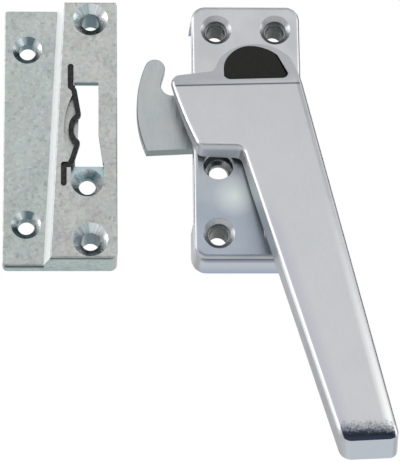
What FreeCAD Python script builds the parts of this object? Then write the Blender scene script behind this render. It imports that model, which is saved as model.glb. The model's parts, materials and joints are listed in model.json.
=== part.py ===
"""Casement window latch: a turning lever with its hook, the covered base it turns in, and the keeper.

The spindle's axis is the frame's Y axis and the wall side of the base lies in the plane Y = 0.
X points right and Z up as the latch hangs on its sash. Heights in this file are measured out of
the wall, along -Y. Lengths are millimetres and angles are degrees.
"""
import FreeCAD, Part
import math
import os
from types import SimpleNamespace

import Sketcher
from FreeCAD import Placement, Rotation, Vector

# Driving sizes
SIZES = {
    # where the spindle stands on the base
    "pivot_right_of_middle": 2.4,
    "pivot_above_middle": 7.2,
    # base cover, a drafted shell open at both flanks for the hook
    "cover_length": 67.0,
    "cover_width": 27.7,
    "cover_height": 11.2,
    "cover_draft": 1.8,
    "cover_corner": 3.8,
    "cover_rim_rounding": 1.3,
    "cover_skin": 1.8,
    "cover_face_skin": 2.6,
    "slot_below_middle": 23.4,
    "slot_above_middle": 29.5,
    "access_hole_radius": 3.7,
    "access_hole_left_of_middle": 7.3,
    "access_hole_below_middle": 9.1,
    # screw positions shared by cover and base plate
    "screw_spacing_across": 14.76,
    "screw_spacing_along": 53.34,
    "screw_bore": 2.3,
    "screw_sink": 3.87,
    "screw_seat": 2.75,
    "screw_sink_depth": 1.15,
    # base plate with its four posts
    "plate_thickness": 2.8,
    "plate_gap": 0.15,
    "plate_corner": 2.2,
    "post_radius": 3.3,
    "plate_hole_radius": 2.35,
    "plate_hole_sink": 3.4,
    "plate_hole_offset": 0.9,
    "spindle_pit_radius": 4.6,
    "spindle_pit_floor": 1.8,
    # hook
    "hook_back": 4.1,
    "hook_thickness": 4.1,
    "hook_reach": 29.6,
    "hook_hub": 9.3,
    "hook_top_angle": 157.8,
    "hook_low_angle": 202.9,
    "hook_tip_round": 2.55,
    "hook_tip_inner_x": 22.5,
    "hook_tip_inner_z": 10.2,
    "hook_throat_x": 23.65,
    "hook_throat_z": 6.2,
    "hook_throat_round": 2.9,
    "hook_floor_z": 3.2,
    "hook_floor_x": 21.0,
    "hook_low_edge": 10.6,
    "hook_edge_rounding": 0.35,
    # spindle and what it carries
    "journal_radius": 5.2,
    "hook_square": 7.0,
    "lever_square": 6.0,
    "square_play": 0.03,
    "socket_skin": 1.2,
    "tenon_radius": 3.2,
    "rivet_radius": 4.0,
    "rivet_height": 0.95,
    "washer_radius": 6.3,
    "washer_thickness": 1.1,
    "spring_washer_radius": 8.4,
    "spring_washer_inner": 5.6,
    "spring_washer_height": 0.35,
    "bush_radius": 6.1,
    "bush_play": 0.05,
    "bush_stand": 0.8,
    # lock ring on the cover, with the gate that its tooth runs in
    "ring_inner": 6.2,
    "ring_outer": 8.3,
    "ring_gate": 7.0,
    "ring_height": 1.2,
    "lever_travel": 90.0,
    # lever, a flat blade whose grip stands away from the wall
    "head_gap": 2.1,
    "head_thickness": 4.1,
    "face_tilt": 13.5,
    "face_skew": 17.0,
    "blade_thickness": 9.2,
    "head_top_line": 2.95,
    "head_low_line": 14.75,
    "head_low_x": 14.8,
    "wing_top_inner": 7.2,
    "wing_top_outer": 5.9,
    "wing_tip_x": 21.75,
    "head_bow": 120.0,
    "head_corner": 2.3,
    "crotch_x": 4.2,
    "crotch_z": 15.25,
    "crotch_round": 2.0,
    "grip_left_slope": 0.2588,
    "grip_right_slope": 0.1895,
    "head_right_x": 11.18,
    "grip_end": 92.2,
    "grip_run_out": 3.5,
    "grip_end_round": 6.0,
    "grip_end_lean": 19.0,
    "left_edge_round": 1.4,
    "right_edge_round": 1.7,
    # tongue that holds the button, and the bevel across wing and tongue
    "tongue_radius": 10.7,
    "tongue_x": 0.45,
    "tongue_z": 4.7,
    "tongue_left_z": 10.95,
    "tongue_right_z": 10.5,
    "tongue_root_x": 10.6,
    "tongue_root_round": 2.0,
    "bevel_lean": 21.0,
    # hub boss under the head, with the recess for ring, slide and button
    "boss_radius": 11.45,
    "boss_gap": 0.2,
    "recess_radius": 10.65,
    "recess_gap": 0.3,
    # release button, a lopsided dome that leans back towards its top
    "button_left_x": 8.05,
    "button_right_x": 7.5,
    "button_flat_z": 4.7,
    "button_corner": 1.5,
    "button_crown_x": 1.3,
    "button_crown_z": 14.6,
    "button_left_round": 6.75,
    "button_right_round": 8.6,
    "button_shoulder_x": 5.2,
    "button_gap": 0.12,
    "button_ring_gap": 0.2,
    "button_thickness": 2.45,
    "button_lean": 11.0,
    "button_rounding": 0.6,
    "button_travel": 1.6,
    "button_roof_gap": 0.15,
    # lock slide behind the button
    "slide_gap": 0.05,
    "slide_thickness": 1.0,
    "slide_half_width": 5.1,
    "slide_top": 9.0,
    "slide_bar": 0.95,
    "slide_play": 0.15,
    "slide_seat_play": 0.05,
    "slide_tail_half_width": 3.0,
    "tooth_half_width": 1.5,
    "tooth_gap": 0.3,
    "tooth_inner": 7.1,
    "tooth_thickness": 1.1,
    # button springs
    "spring_x": 6.15,
    "spring_above_back": 1.0,
    "spring_coil_radius": 0.6,
    "spring_wire": 0.25,
    "spring_turns": 4.0,
    "spring_top": 7.2,
    "spring_pocket": 0.8,
    # keeper, a flange with a drafted block and a window for the hook
    "keeper_right_edge": 34.5,
    "keeper_width": 28.2,
    "keeper_length": 67.0,
    "keeper_middle_z": 6.55,
    "flange_thickness": 4.7,
    "block_height": 11.0,
    "step_foot_top_x": 49.4,
    "step_foot_low_x": 52.55,
    "step_lean": 1.8,
    "keeper_edge_round": 0.5,
    "block_hole_x": 41.08,
    "block_hole_spacing": 57.64,
    "block_hole_bore": 2.28,
    "block_hole_sink": 4.3,
    "flange_hole_x": 56.89,
    "flange_hole_spacing": 46.1,
    "flange_hole_bore": 2.1,
    "flange_hole_sink": 3.65,
    "keeper_bore_length": 3.4,
    "relief_radius": 4.6,
    # keeper window, the hollow behind it and the recessed third screw
    "window_top": 5.4,
    "window_low": 15.7,
    "window_right_x": 39.1,
    "window_flare_x": 38.0,
    "window_flare_z": 7.85,
    "window_skin": 2.2,
    "hollow_right_x": 36.6,
    "hollow_left_x": 44.9,
    "hollow_top": 12.0,
    "recess_half_width": 4.03,
    "recess_x": 41.85,
    "recess_z": 20.3,
    "recess_floor": 8.2,
    "recess_bore": 2.1,
    "recess_bore_length": 1.8,
    "recess_sink_depth": 1.8,
    # spring of the keeper, a stamped strip on edge in its own recess
    "leaf_width": 1.25,
    "leaf_thickness": 1.5,
    "leaf_sink": 0.3,
    "leaf_bed": 2.0,
    "leaf_gap": 0.1,
    "leaf_high_x": 46.0,
    "leaf_top_z": 9.6,
    "leaf_jog_z": 4.4,
    "leaf_inner_x": 45.1,
    "leaf_jog_drop": 0.9,
    "leaf_crest_x": 44.0,
    "leaf_crest_z": 3.0,
    "leaf_detent": 3.75,
    "leaf_low_crest_x": 44.2,
    "leaf_low_crest_z": 10.2,
    "leaf_shin_x": 46.0,
    "leaf_foot_z": 16.1,
    "leaf_end_x": 47.6,
    "leaf_end_z": 20.9,
    "leaf_flex_top_z": 3.0,
    "leaf_flex_low_z": 15.0,
    "leaf_flex_round": 21.0,
}

doc = FreeCAD.newDocument("window_latch")
sheet = doc.addObject("Spreadsheet::Sheet", "sizes")


class Size:
    """A number that remembers the sheet expression it comes from."""

    def __init__(self, number, words):
        self.number = float(number)
        self.words = words

    def __add__(self, other):
        other = as_size(other)
        return Size(self.number + other.number, f"({self.words} + {other.words})")

    def __sub__(self, other):
        other = as_size(other)
        return Size(self.number - other.number, f"({self.words} - {other.words})")

    def __mul__(self, other):
        other = as_size(other)
        return Size(self.number * other.number, f"({self.words} * {other.words})")

    def __truediv__(self, other):
        other = as_size(other)
        return Size(self.number / other.number, f"({self.words} / {other.words})")

    def __radd__(self, other):
        return as_size(other) + self

    def __rsub__(self, other):
        return as_size(other) - self

    def __rmul__(self, other):
        return as_size(other) * self

    def __neg__(self):
        return Size(-self.number, f"(0 - {self.words})")


def as_size(value):
    return value if isinstance(value, Size) else Size(value, f"({value:g})")


def sine(angle):
    return Size(math.sin(math.radians(angle.number)), f"sin({angle.words})")


def cosine(angle):
    return Size(math.cos(math.radians(angle.number)), f"cos({angle.words})")


def tangent(angle):
    return Size(math.tan(math.radians(angle.number)), f"tan({angle.words})")


def arcsine(size):
    return Size(math.degrees(math.asin(size.number)), f"(asin({size.words}) / 1 deg)")


def root(size):
    return Size(math.sqrt(size.number), f"sqrt({size.words})")


for row, (name, number) in enumerate(SIZES.items(), start=1):
    sheet.set(f"A{row}", name)
    sheet.set(f"B{row}", str(number))
    sheet.setAlias(f"B{row}", name)
doc.recompute()
s = SimpleNamespace(**{name: Size(number, f"sizes.{name}") for name, number in SIZES.items()})

# Allowances of the modelling itself, no sizes of the latch
PAST = 1.0
JOIN = 0.5
REACH = 150.0
CLOSE = 0.03
LEAST_CUT = 0.001

# Sizes worked out from the driving ones
middle_x = -s.pivot_right_of_middle
middle_z = -s.pivot_above_middle
post_top = s.cover_height - s.cover_face_skin
hook_front = s.hook_back + s.hook_thickness
ring_front = s.cover_height + s.ring_height
bush_front = s.cover_height + s.bush_stand
head_back = s.cover_height + s.head_gap
face_height = head_back + s.head_thickness
socket_roof = face_height - s.socket_skin
boss_back = s.cover_height + s.boss_gap
recess_roof = ring_front + s.recess_gap
button_back = ring_front + s.button_ring_gap
button_front = button_back + s.button_thickness
button_roof = button_front + s.button_roof_gap
slide_back = recess_roof + s.slide_gap
tooth_back = s.cover_height + s.tooth_gap
spring_height = button_back + s.spring_above_back
access_x = middle_x - s.access_hole_left_of_middle
access_z = middle_z - s.access_hole_below_middle
face_rise_across = tangent(s.face_tilt) * sine(s.face_skew)
face_rise_down = tangent(s.face_tilt) * cosine(s.face_skew)
bevel_drop = tangent(s.bevel_lean)
button_low_z = s.button_flat_z - s.button_travel - s.slide_play
slide_front = slide_back + s.slide_thickness
tooth_outer = s.tooth_inner + s.tooth_thickness
window_half = s.lever_square / 2 + s.slide_play
blank_front = face_height + face_rise_down * (s.grip_end + s.grip_run_out) + s.blade_thickness


def bind(feature, property_name, value):
    """Set one property and tie it to the sheet."""
    value = as_size(value)
    feature.setExpression(property_name, value.words)


def new_body(name):
    body = doc.addObject("PartDesign::Body", name)
    body.Label = name
    return body


def origin_plane(body, role):
    return next(item for item in body.Origin.OriginFeatures if item.Role == role)


def attach(feature, body, x=0.0, z=0.0, height=0.0, role="XZ_Plane"):
    """Lay a feature on one of the body's planes, moved along the plane's own three directions."""
    feature.AttachmentSupport = (origin_plane(body, role), "")
    feature.MapMode = "FlatFace"
    x, z, height = as_size(x), as_size(z), as_size(height)
    feature.AttachmentOffset = Placement(Vector(x.number, z.number, height.number), Rotation())
    for axis, value in (("x", x), ("y", z), ("z", height)):
        feature.setExpression(f"AttachmentOffset.Base.{axis}", value.words)


def new_sketch(body, name, height=0.0):
    sketch = body.newObject("Sketcher::SketchObject", name)
    attach(sketch, body, height=height)
    return sketch


def hold_point(sketch, index, position, x, z):
    """Pin one end of a sketch line at its place, both numbers tied to the sheet."""
    for kind, value in (("DistanceX", x), ("DistanceY", z)):
        value = as_size(value)
        number = sketch.addConstraint(Sketcher.Constraint(kind, index, position, value.number))
        sketch.setExpression(f"Constraints[{number}]", value.words)


def add_loop(sketch, corners, closed=True):
    """Draw a line of straight runs and arcs, closed to a loop unless told otherwise.

    A corner is (x, z), or (x, z, radius, side) where the run that arrives there is an arc:
    side is 1 where the arc turns left on its way and -1 where it turns right.
    """
    ends = []
    for number, corner in enumerate(corners):
        if number == 0 and not closed:
            continue
        start = [as_size(value) for value in corners[number - 1][:2]]
        end = [as_size(value) for value in corner[:2]]
        first = Vector(start[0].number, start[1].number, 0)
        last = Vector(end[0].number, end[1].number, 0)
        if len(corner) == 2:
            index = sketch.addGeometry(Part.LineSegment(first, last), False)
            ends.append((index, 1, 2))
        else:
            radius, side = as_size(corner[2]), corner[3]
            chord = last - first
            to_centre = Vector(-chord.y, chord.x, 0).normalize() * side
            sag = math.sqrt(radius.number ** 2 - (chord.Length / 2) ** 2)
            centre = (first + last) / 2 + to_centre * sag
            circle = Part.Circle(centre, Vector(0, 0, 1), radius.number)
            from_angle = math.atan2(first.y - centre.y, first.x - centre.x)
            to_angle = math.atan2(last.y - centre.y, last.x - centre.x)
            if side < 0:
                from_angle, to_angle = to_angle, from_angle
            index = sketch.addGeometry(Part.ArcOfCircle(circle, from_angle, to_angle), False)
            ends.append((index, 1, 2) if side > 0 else (index, 2, 1))
            held = sketch.addConstraint(Sketcher.Constraint("Radius", index, radius.number))
            sketch.setExpression(f"Constraints[{held}]", radius.words)
        hold_point(sketch, ends[-1][0], ends[-1][1], *start)
    for (index, _, out), (following, into, _) in zip(ends, ends[1:] + (ends[:1] if closed else [])):
        sketch.addConstraint(Sketcher.Constraint("Coincident", index, out, following, into))
    if not closed:
        hold_point(sketch, ends[-1][0], ends[-1][2], *corners[-1][:2])


def add_circle(sketch, x, z, radius):
    x, z, radius = as_size(x), as_size(z), as_size(radius)
    circle = Part.Circle(Vector(x.number, z.number, 0), Vector(0, 0, 1), radius.number)
    index = sketch.addGeometry(circle, False)
    hold_point(sketch, index, 3, x, z)
    held = sketch.addConstraint(Sketcher.Constraint("Radius", index, radius.number))
    sketch.setExpression(f"Constraints[{held}]", radius.words)


def rectangle(left, right, low, high):
    return [(left, low), (right, low), (right, high), (left, high)]


def pad(body, name, sketch, length, taper=None):
    feature = body.newObject("PartDesign::Pad", name)
    feature.Profile = sketch
    bind(feature, "Length", length)
    if taper is not None:
        bind(feature, "TaperAngle", taper)
    doc.recompute()
    return feature


def pocket(body, name, sketch, depth, forwards=False):
    """Cut from the sketch towards the wall, or away from it where forwards is true."""
    before = body.Shape.Volume
    feature = body.newObject("PartDesign::Pocket", name)
    feature.Profile = sketch
    bind(feature, "Length", depth)
    feature.Reversed = forwards
    doc.recompute()
    if body.Shape.Volume > before - LEAST_CUT:
        raise RuntimeError(f"{name} cuts nothing")
    return feature


def prism(body, name, corners, low, high):
    """Add the prism on a closed outline between two heights."""
    sketch = new_sketch(body, f"{name}_outline", low)
    add_loop(sketch, corners)
    return pad(body, name, sketch, high - low)


def cut_prism(body, name, corners, low, high):
    """Cut the prism on a closed outline between two heights."""
    sketch = new_sketch(body, f"{name}_outline", high)
    add_loop(sketch, corners)
    return pocket(body, name, sketch, high - low)


def round_feature(body, kind, name, x, z, low, high, radius, top_radius=None, role="XZ_Plane"):
    """Add or cut a cylinder, or a cone where its top has a radius of its own."""
    form = "Cylinder" if top_radius is None else "Cone"
    feature = body.newObject(f"PartDesign::{kind}{form}", name)
    attach(feature, body, x, z, low, role)
    bind(feature, "Height", as_size(high) - low)
    if top_radius is None:
        bind(feature, "Radius", radius)
    else:
        bind(feature, "Radius1", radius)
        bind(feature, "Radius2", top_radius)
    doc.recompute()
    return feature


def cut_along_plane(body, name, height, rise_right, rise_down, forwards):
    """Cut away what lies beyond the plane that rises to the right and towards the bottom."""
    sketch = new_sketch(body, f"{name}_field", height)
    normal = Vector(-rise_right.number, rise_down.number, 1)
    tilt = Rotation(Vector(0, 0, 1), normal)
    sketch.AttachmentOffset = Placement(Vector(0, 0, as_size(height).number), tilt)
    sketch.setExpression("AttachmentOffset.Base.z", as_size(height).words)
    add_loop(sketch, rectangle(-REACH, REACH, -REACH, REACH))
    return pocket(body, name, sketch, REACH, forwards)


def edges_where(shape, test):
    """Names of the edges whose both ends and middle all pass the test on (x, z, height)."""
    names = []
    for number, edge in enumerate(shape.Edges, start=1):
        first, last = edge.ParameterRange
        spots = [edge.valueAt(first + (last - first) * part) for part in (0.0, 0.5, 1.0)]
        if all(test(spot.x, spot.z, -spot.y) for spot in spots):
            names.append(f"Edge{number}")
    return names


def round_edges(body, name, radius, test):
    """Round the edges that pass the test, by no more than the radius asked for."""
    base = body.Tip
    names = edges_where(base.Shape, test)
    if not names:
        raise RuntimeError(f"{name} finds no edge")
    feature = body.newObject("PartDesign::Fillet", name)
    feature.Base = (base, names)
    bind(feature, "Radius", radius)
    doc.recompute()
    return feature


def near(value, target):
    return abs(value - target) < CLOSE


def at_spot(x, z, spot):
    return near(x, spot[0]) and near(z, spot[1])


def rounded_rectangle(half_x, half_z, corner):
    """The loop of a rectangle with round corners about the middle of the base."""
    left, right = middle_x - half_x, middle_x + half_x
    low, top = middle_z - half_z, middle_z + half_z
    return [(left + corner, low, corner, 1), (right - corner, low), (right, low + corner, corner, 1),
            (right, top - corner), (right - corner, top, corner, 1), (left + corner, top),
            (left, top - corner, corner, 1), (left, low + corner)]


# Base plate, pressed steel with four posts that the screws pass through
def screw_spots():
    """The four screw axes, named by their corner."""
    for side, right in (("left", -1), ("right", 1)):
        for end, up in (("low", -1), ("top", 1)):
            spot_x = middle_x + right * s.screw_spacing_across / 2
            spot_z = middle_z + up * s.screw_spacing_along / 2
            yield f"{end}_{side}", spot_x, spot_z


def make_base_plate():
    body = new_body("base_plate")
    half_x = s.cover_width / 2 - s.cover_skin - s.plate_gap
    half_z = s.cover_length / 2 - s.cover_skin - s.plate_gap
    corners = rectangle(middle_x - half_x, middle_x + half_x, middle_z - half_z, middle_z + half_z)
    prism(body, "plate", corners, as_size(0), s.plate_thickness)
    right = (middle_x + half_x).number
    left = (middle_x - half_x).number
    top = (middle_z + half_z).number
    low = (middle_z - half_z).number
    round_edges(body, "plate_corners", s.plate_corner,
                lambda x, z, height: (near(x, left) or near(x, right)) and (near(z, top) or near(z, low)))
    for spot, x, z in screw_spots():
        round_feature(body, "Additive", f"post_{spot}", x, z, 0, post_top, s.post_radius)
        round_feature(body, "Subtractive", f"bore_{spot}", x, z, -PAST, post_top + PAST,
                      s.screw_bore)
    hole_x = access_x + s.plate_hole_offset / 2
    hole_z = access_z + s.plate_hole_offset
    sink_depth = s.plate_hole_sink - s.plate_hole_radius
    round_feature(body, "Subtractive", "middle_bore", hole_x, hole_z, -PAST,
                  s.plate_thickness + PAST, s.plate_hole_radius)
    round_feature(body, "Subtractive", "middle_sink", hole_x, hole_z, s.plate_thickness - sink_depth,
                  s.plate_thickness, s.plate_hole_radius, s.plate_hole_sink)
    round_feature(body, "Subtractive", "spindle_pit", 0, 0, s.spindle_pit_floor,
                  s.plate_thickness + PAST, s.spindle_pit_radius)
    return body


# Base cover, a cast shell whose flanks are open so that the hook can swing out on either side
def make_base_cover():
    body = new_body("base_cover")
    half_x = s.cover_width / 2
    half_z = s.cover_length / 2
    sketch = new_sketch(body, "cover_outline")
    add_loop(sketch, rounded_rectangle(half_x, half_z, s.cover_corner))
    pad(body, "cover_block", sketch, s.cover_height, -s.cover_draft)
    front = s.cover_height.number
    round_edges(body, "cover_rim", s.cover_rim_rounding, lambda x, z, height: near(height, front))
    inner_x = half_x - s.cover_skin
    inner_z = half_z - s.cover_skin
    inner_corner = s.cover_corner - s.cover_skin
    inside = new_sketch(body, "cover_inside_outline", post_top)
    add_loop(inside, rounded_rectangle(inner_x, inner_z, inner_corner))
    pocket(body, "cover_inside", inside, post_top)
    flank = rectangle(middle_x - s.cover_width, middle_x + s.cover_width,
                      middle_z - s.slot_below_middle, middle_z + s.slot_above_middle)
    cut_prism(body, "flank_slots", flank, as_size(-PAST), post_top)
    for spot, x, z in screw_spots():
        round_feature(body, "Subtractive", f"seat_{spot}", x, z, post_top, s.cover_height + PAST,
                      s.screw_seat)
        round_feature(body, "Subtractive", f"sink_{spot}", x, z, s.cover_height - s.screw_sink_depth,
                      s.cover_height, s.screw_seat, s.screw_sink)
    round_feature(body, "Subtractive", "access_hole", access_x, access_z, 0,
                  s.cover_height + PAST, s.access_hole_radius)
    round_feature(body, "Subtractive", "bush_hole", 0, 0, 0, s.cover_height + PAST, s.bush_radius)
    return body


# Hook, a steel plate on the spindle's square
def make_hook():
    body = new_body("hook")
    high_x = s.hook_reach * cosine(s.hook_top_angle)
    high_z = s.hook_reach * sine(s.hook_top_angle)
    low_x = s.hook_reach * cosine(s.hook_low_angle)
    low_z = s.hook_reach * sine(s.hook_low_angle)
    hub_x = -root(s.hook_hub * s.hook_hub - s.hook_floor_z * s.hook_floor_z)
    corners = [
        (high_x, high_z, s.hook_reach, -1),
        (-s.hook_tip_inner_x, s.hook_tip_inner_z, s.hook_tip_round, -1),
        (-s.hook_throat_x, s.hook_throat_z),
        (-s.hook_floor_x, s.hook_floor_z, s.hook_throat_round, 1),
        (hub_x, s.hook_floor_z),
        (s.hook_hub, 0, s.hook_hub, -1),
        (0, -s.hook_hub, s.hook_hub, -1),
        (-s.hook_hub, -s.hook_low_edge),
        (low_x, low_z),
    ]
    prism(body, "hook_plate", corners, s.hook_back, hook_front)
    half = s.hook_square / 2 + s.square_play
    cut_prism(body, "hook_square_hole", rectangle(-half, half, -half, half),
              s.hook_back - PAST, hook_front + PAST)
    front = hook_front.number
    beyond_hub = -s.hook_hub.number - PAST
    round_edges(body, "hook_front_edges", s.hook_edge_rounding,
                lambda x, z, height: near(height, front) and x < beyond_hub)
    return body


# Spindle, turned and squared at both ends, with its riveted tail
def make_spindle():
    body = new_body("spindle")
    washer_back = s.hook_back - s.washer_thickness
    half_hook = s.hook_square / 2
    half_lever = s.lever_square / 2
    prism(body, "hook_square", rectangle(-half_hook, half_hook, -half_hook, half_hook), s.hook_back,
          hook_front)
    round_feature(body, "Additive", "tenon", 0, 0, washer_back, s.hook_back, s.tenon_radius)
    round_feature(body, "Additive", "rivet_head", 0, 0, washer_back - s.rivet_height, washer_back,
                  s.tenon_radius, s.rivet_radius)
    round_feature(body, "Additive", "journal", 0, 0, hook_front, bush_front, s.journal_radius)
    prism(body, "lever_square", rectangle(-half_lever, half_lever, -half_lever, half_lever),
          bush_front, socket_roof)
    return body


def make_ring(name, low, high, outer, inner):
    """A plain ring about the spindle."""
    body = new_body(name)
    sketch = new_sketch(body, f"{name}_outline", low)
    add_circle(sketch, 0, 0, outer)
    add_circle(sketch, 0, 0, inner)
    pad(body, f"{name}_ring", sketch, high - low)
    return body


# Lock ring on the cover: its low gate lets the tooth run a quarter turn and stops it at both ends
def make_lock_ring():
    body = make_ring("lock_ring", s.cover_height, ring_front, s.ring_outer, s.ring_inner)
    spare = arcsine((s.tooth_half_width + s.slide_play) / s.ring_gate)
    first = -(spare + 90)
    last = first + s.lever_travel + spare * 2
    clear = s.ring_outer * 4
    gate = [
        (s.ring_gate * cosine(first), s.ring_gate * sine(first), s.ring_gate, -1),
        (clear * cosine(first), clear * sine(first)),
        (clear * cosine(last), clear * sine(last)),
        (s.ring_gate * cosine(last), s.ring_gate * sine(last)),
    ]
    cut_prism(body, "gate", gate, s.cover_height - PAST, ring_front + PAST)
    return body


# Lever, one blade of head and grip
def face_at(x, z):
    """Height of the lever's front face at one spot."""
    return (face_height + face_rise_across * x - face_rise_down * z).number


def lever_outline():
    """The lever's silhouette, walked clockwise from the right end of the bevel."""
    end_z = -(s.grip_end + s.grip_run_out)
    grip_drop = s.grip_end + s.grip_run_out - s.crotch_z
    left_end_x = -s.crotch_x + s.grip_left_slope * grip_drop
    right_end_x = s.head_right_x + s.grip_right_slope * (s.head_top_line - end_z)
    tongue_left_x = tongue_side_x(s.tongue_left_z, -1)
    tongue_right_x = tongue_side_x(s.tongue_right_z, 1)
    return [
        (s.head_right_x, s.head_top_line),
        (right_end_x, end_z),
        (left_end_x, end_z),
        (-s.crotch_x, -s.crotch_z),
        (-s.head_low_x, -s.head_low_line),
        (-s.wing_tip_x, s.wing_top_outer, s.head_bow, -1),
        (-s.tongue_root_x, s.wing_top_inner),
        (tongue_left_x, s.tongue_left_z),
        (-s.tongue_x, s.tongue_z + s.tongue_radius, s.tongue_radius, -1),
        (tongue_right_x, s.tongue_right_z, s.tongue_radius, -1),
    ]


def tongue_side_x(z, side):
    """Where the tongue's round end crosses one level, left (-1) or right (1)."""
    rise = z - s.tongue_z
    return side * root(s.tongue_radius * s.tongue_radius - rise * rise) - s.tongue_x


def on_face(x, z, height):
    return near(height, face_at(x, z))


def make_lever():
    body = new_body("lever")
    outline = lever_outline()
    spots = {name: (outline[number][0].number, outline[number][1].number)
             for name, number in (("crotch", 3), ("head_low", 4), ("wing", 5), ("tongue_root", 6))}
    prism(body, "blade", outline, head_back, blank_front)
    cut_along_plane(body, "front_face", face_height, face_rise_across, face_rise_down, True)
    run_out = -(s.grip_end + s.grip_run_out).number
    round_edges(body, "grip_end_round", s.grip_end_round,
                lambda x, z, height: near(z, run_out) and on_face(x, z, height))
    back_height = face_height - s.blade_thickness / cosine(s.face_tilt)
    cut_along_plane(body, "back_face", back_height, face_rise_across, face_rise_down, False)
    round_edges(body, "head_corners", s.head_corner,
                lambda x, z, height: at_spot(x, z, spots["head_low"]) or at_spot(x, z, spots["wing"]))
    round_edges(body, "crotch", s.crotch_round, lambda x, z, height: at_spot(x, z, spots["crotch"]))
    round_edges(body, "tongue_root", s.tongue_root_round,
                lambda x, z, height: at_spot(x, z, spots["tongue_root"]))
    make_hub(body)
    bevel_height = face_height + (bevel_drop - face_rise_down) * s.head_top_line
    cut_along_plane(body, "bevel", bevel_height, face_rise_across, bevel_drop, True)
    round_front_edges(body)
    cut_end_face(body)
    make_button_cavity(body)
    return body


def round_front_edges(body):
    """Round both long sides of the front face; the smooth edges that follow on are rounded along."""
    def on_left(x, z, height):
        line = -s.crotch_x.number - s.grip_left_slope.number * (z + s.crotch_z.number)
        return on_face(x, z, height) and near(x, line)

    def on_right(x, z, height):
        line = s.head_right_x.number - s.grip_right_slope.number * (z - s.head_top_line.number)
        return on_face(x, z, height) and near(x, line)

    round_edges(body, "left_front_edge", s.left_edge_round, on_left)
    round_edges(body, "right_front_edge", s.right_edge_round, on_right)


def cut_end_face(body):
    """Cut the grip's end off along a plane that leans a little from square."""
    field = body.newObject("Sketcher::SketchObject", "end_face_field")
    front = face_height + face_rise_down * s.grip_end
    attach(field, body, 0, -front, -s.grip_end, role="XY_Plane")
    lean = Rotation(Vector(1, 0, 0), -s.grip_end_lean.number)
    field.AttachmentOffset = Placement(Vector(0, -front.number, -s.grip_end.number), lean)
    add_loop(field, rectangle(-REACH, REACH, -REACH, REACH))
    pocket(body, "end_face", field, REACH)


def make_hub(body):
    """The round boss under the head and the tongue's own foot, down to just above the cover."""
    round_feature(body, "Additive", "boss", 0, 0, boss_back, head_back + JOIN, s.boss_radius)
    left_x = tongue_side_x(s.tongue_left_z, -1)
    right_x = tongue_side_x(s.tongue_right_z, 1)
    foot = [
        (s.head_right_x - PAST, s.head_top_line),
        (-s.tongue_root_x, s.head_top_line),
        (left_x, s.tongue_left_z),
        (-s.tongue_x, s.tongue_z + s.tongue_radius, s.tongue_radius, -1),
        (right_x, s.tongue_right_z, s.tongue_radius, -1),
    ]
    prism(body, "tongue_foot", foot, boss_back, head_back + JOIN)
    round_feature(body, "Subtractive", "ring_recess", 0, 0, boss_back - PAST, recess_roof,
                  s.recess_radius)


def button_outline(play):
    """The button's lopsided dome, grown by the play all round."""
    left, right = -s.button_left_x - play, s.button_right_x + play
    low = s.button_flat_z - play
    corner = s.button_corner + play
    shoulder_x = s.button_shoulder_x + play
    crown_z = s.button_crown_z + play
    left_round = s.button_left_round + play
    right_round = s.button_right_round + play
    shoulder_run = shoulder_x + s.button_crown_x
    shoulder_z = crown_z - right_round + root(right_round * right_round - shoulder_run * shoulder_run)
    return [
        (left + corner, low, corner, 1),
        (right - corner, low),
        (right, low + corner, corner, 1),
        (shoulder_x, shoulder_z),
        (-s.button_crown_x, crown_z, right_round, 1),
        (left, crown_z - left_round, left_round, 1),
        (left, low + corner),
    ]


def make_button_cavity(body):
    """Open the tongue for the button, the head for its slide, and the socket for the spindle."""
    cut_prism(body, "button_window", button_outline(s.button_gap), boss_back - PAST,
              face_height + PAST)
    under = rectangle(-s.button_left_x - s.button_gap, s.button_right_x + s.button_gap, button_low_z,
                      s.button_flat_z + s.button_corner)
    cut_prism(body, "under_rim", under, boss_back - PAST, button_roof)
    wide = s.slide_half_width + s.slide_play
    narrow = s.slide_tail_half_width + s.slide_play
    shoulder = -(window_half + s.slide_bar + s.button_travel + s.slide_play)
    tail = -(tooth_outer + s.button_travel + s.slide_play)
    channel = [(-narrow, tail), (narrow, tail), (narrow, shoulder), (wide, shoulder),
               (wide, s.button_flat_z), (-wide, s.button_flat_z), (-wide, shoulder),
               (-narrow, shoulder)]
    cut_prism(body, "slide_channel", channel, slide_back - s.slide_play,
              slide_front + s.slide_play)
    half_square = s.lever_square / 2 + s.square_play
    cut_prism(body, "spindle_socket", rectangle(-half_square, half_square, -half_square, half_square),
              recess_roof, socket_roof)


# Release button, pressed down towards the grip
def make_release_button():
    body = new_body("release_button")
    prism(body, "button_block", button_outline(0), button_back, button_front + PAST)
    lean = tangent(s.button_lean)
    height_at_axis = button_front + lean * s.button_flat_z
    cut_along_plane(body, "button_face", height_at_axis, as_size(0), lean, True)
    round_edges(body, "button_edges", s.button_rounding,
                lambda x, z, height: near(height, (height_at_axis - lean * z).number))
    wide = s.slide_half_width + s.slide_seat_play
    cut_prism(body, "slide_seat", rectangle(-wide, wide, s.button_flat_z - PAST, s.slide_top),
              slide_back, slide_front)
    for side, right in (("left", -1), ("right", 1)):
        round_feature(body, "Subtractive", f"spring_pocket_{side}", right * s.spring_x,
                      -spring_height, s.button_flat_z - PAST, s.spring_top, s.spring_pocket,
                      role="XY_Plane")
    return body


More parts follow.
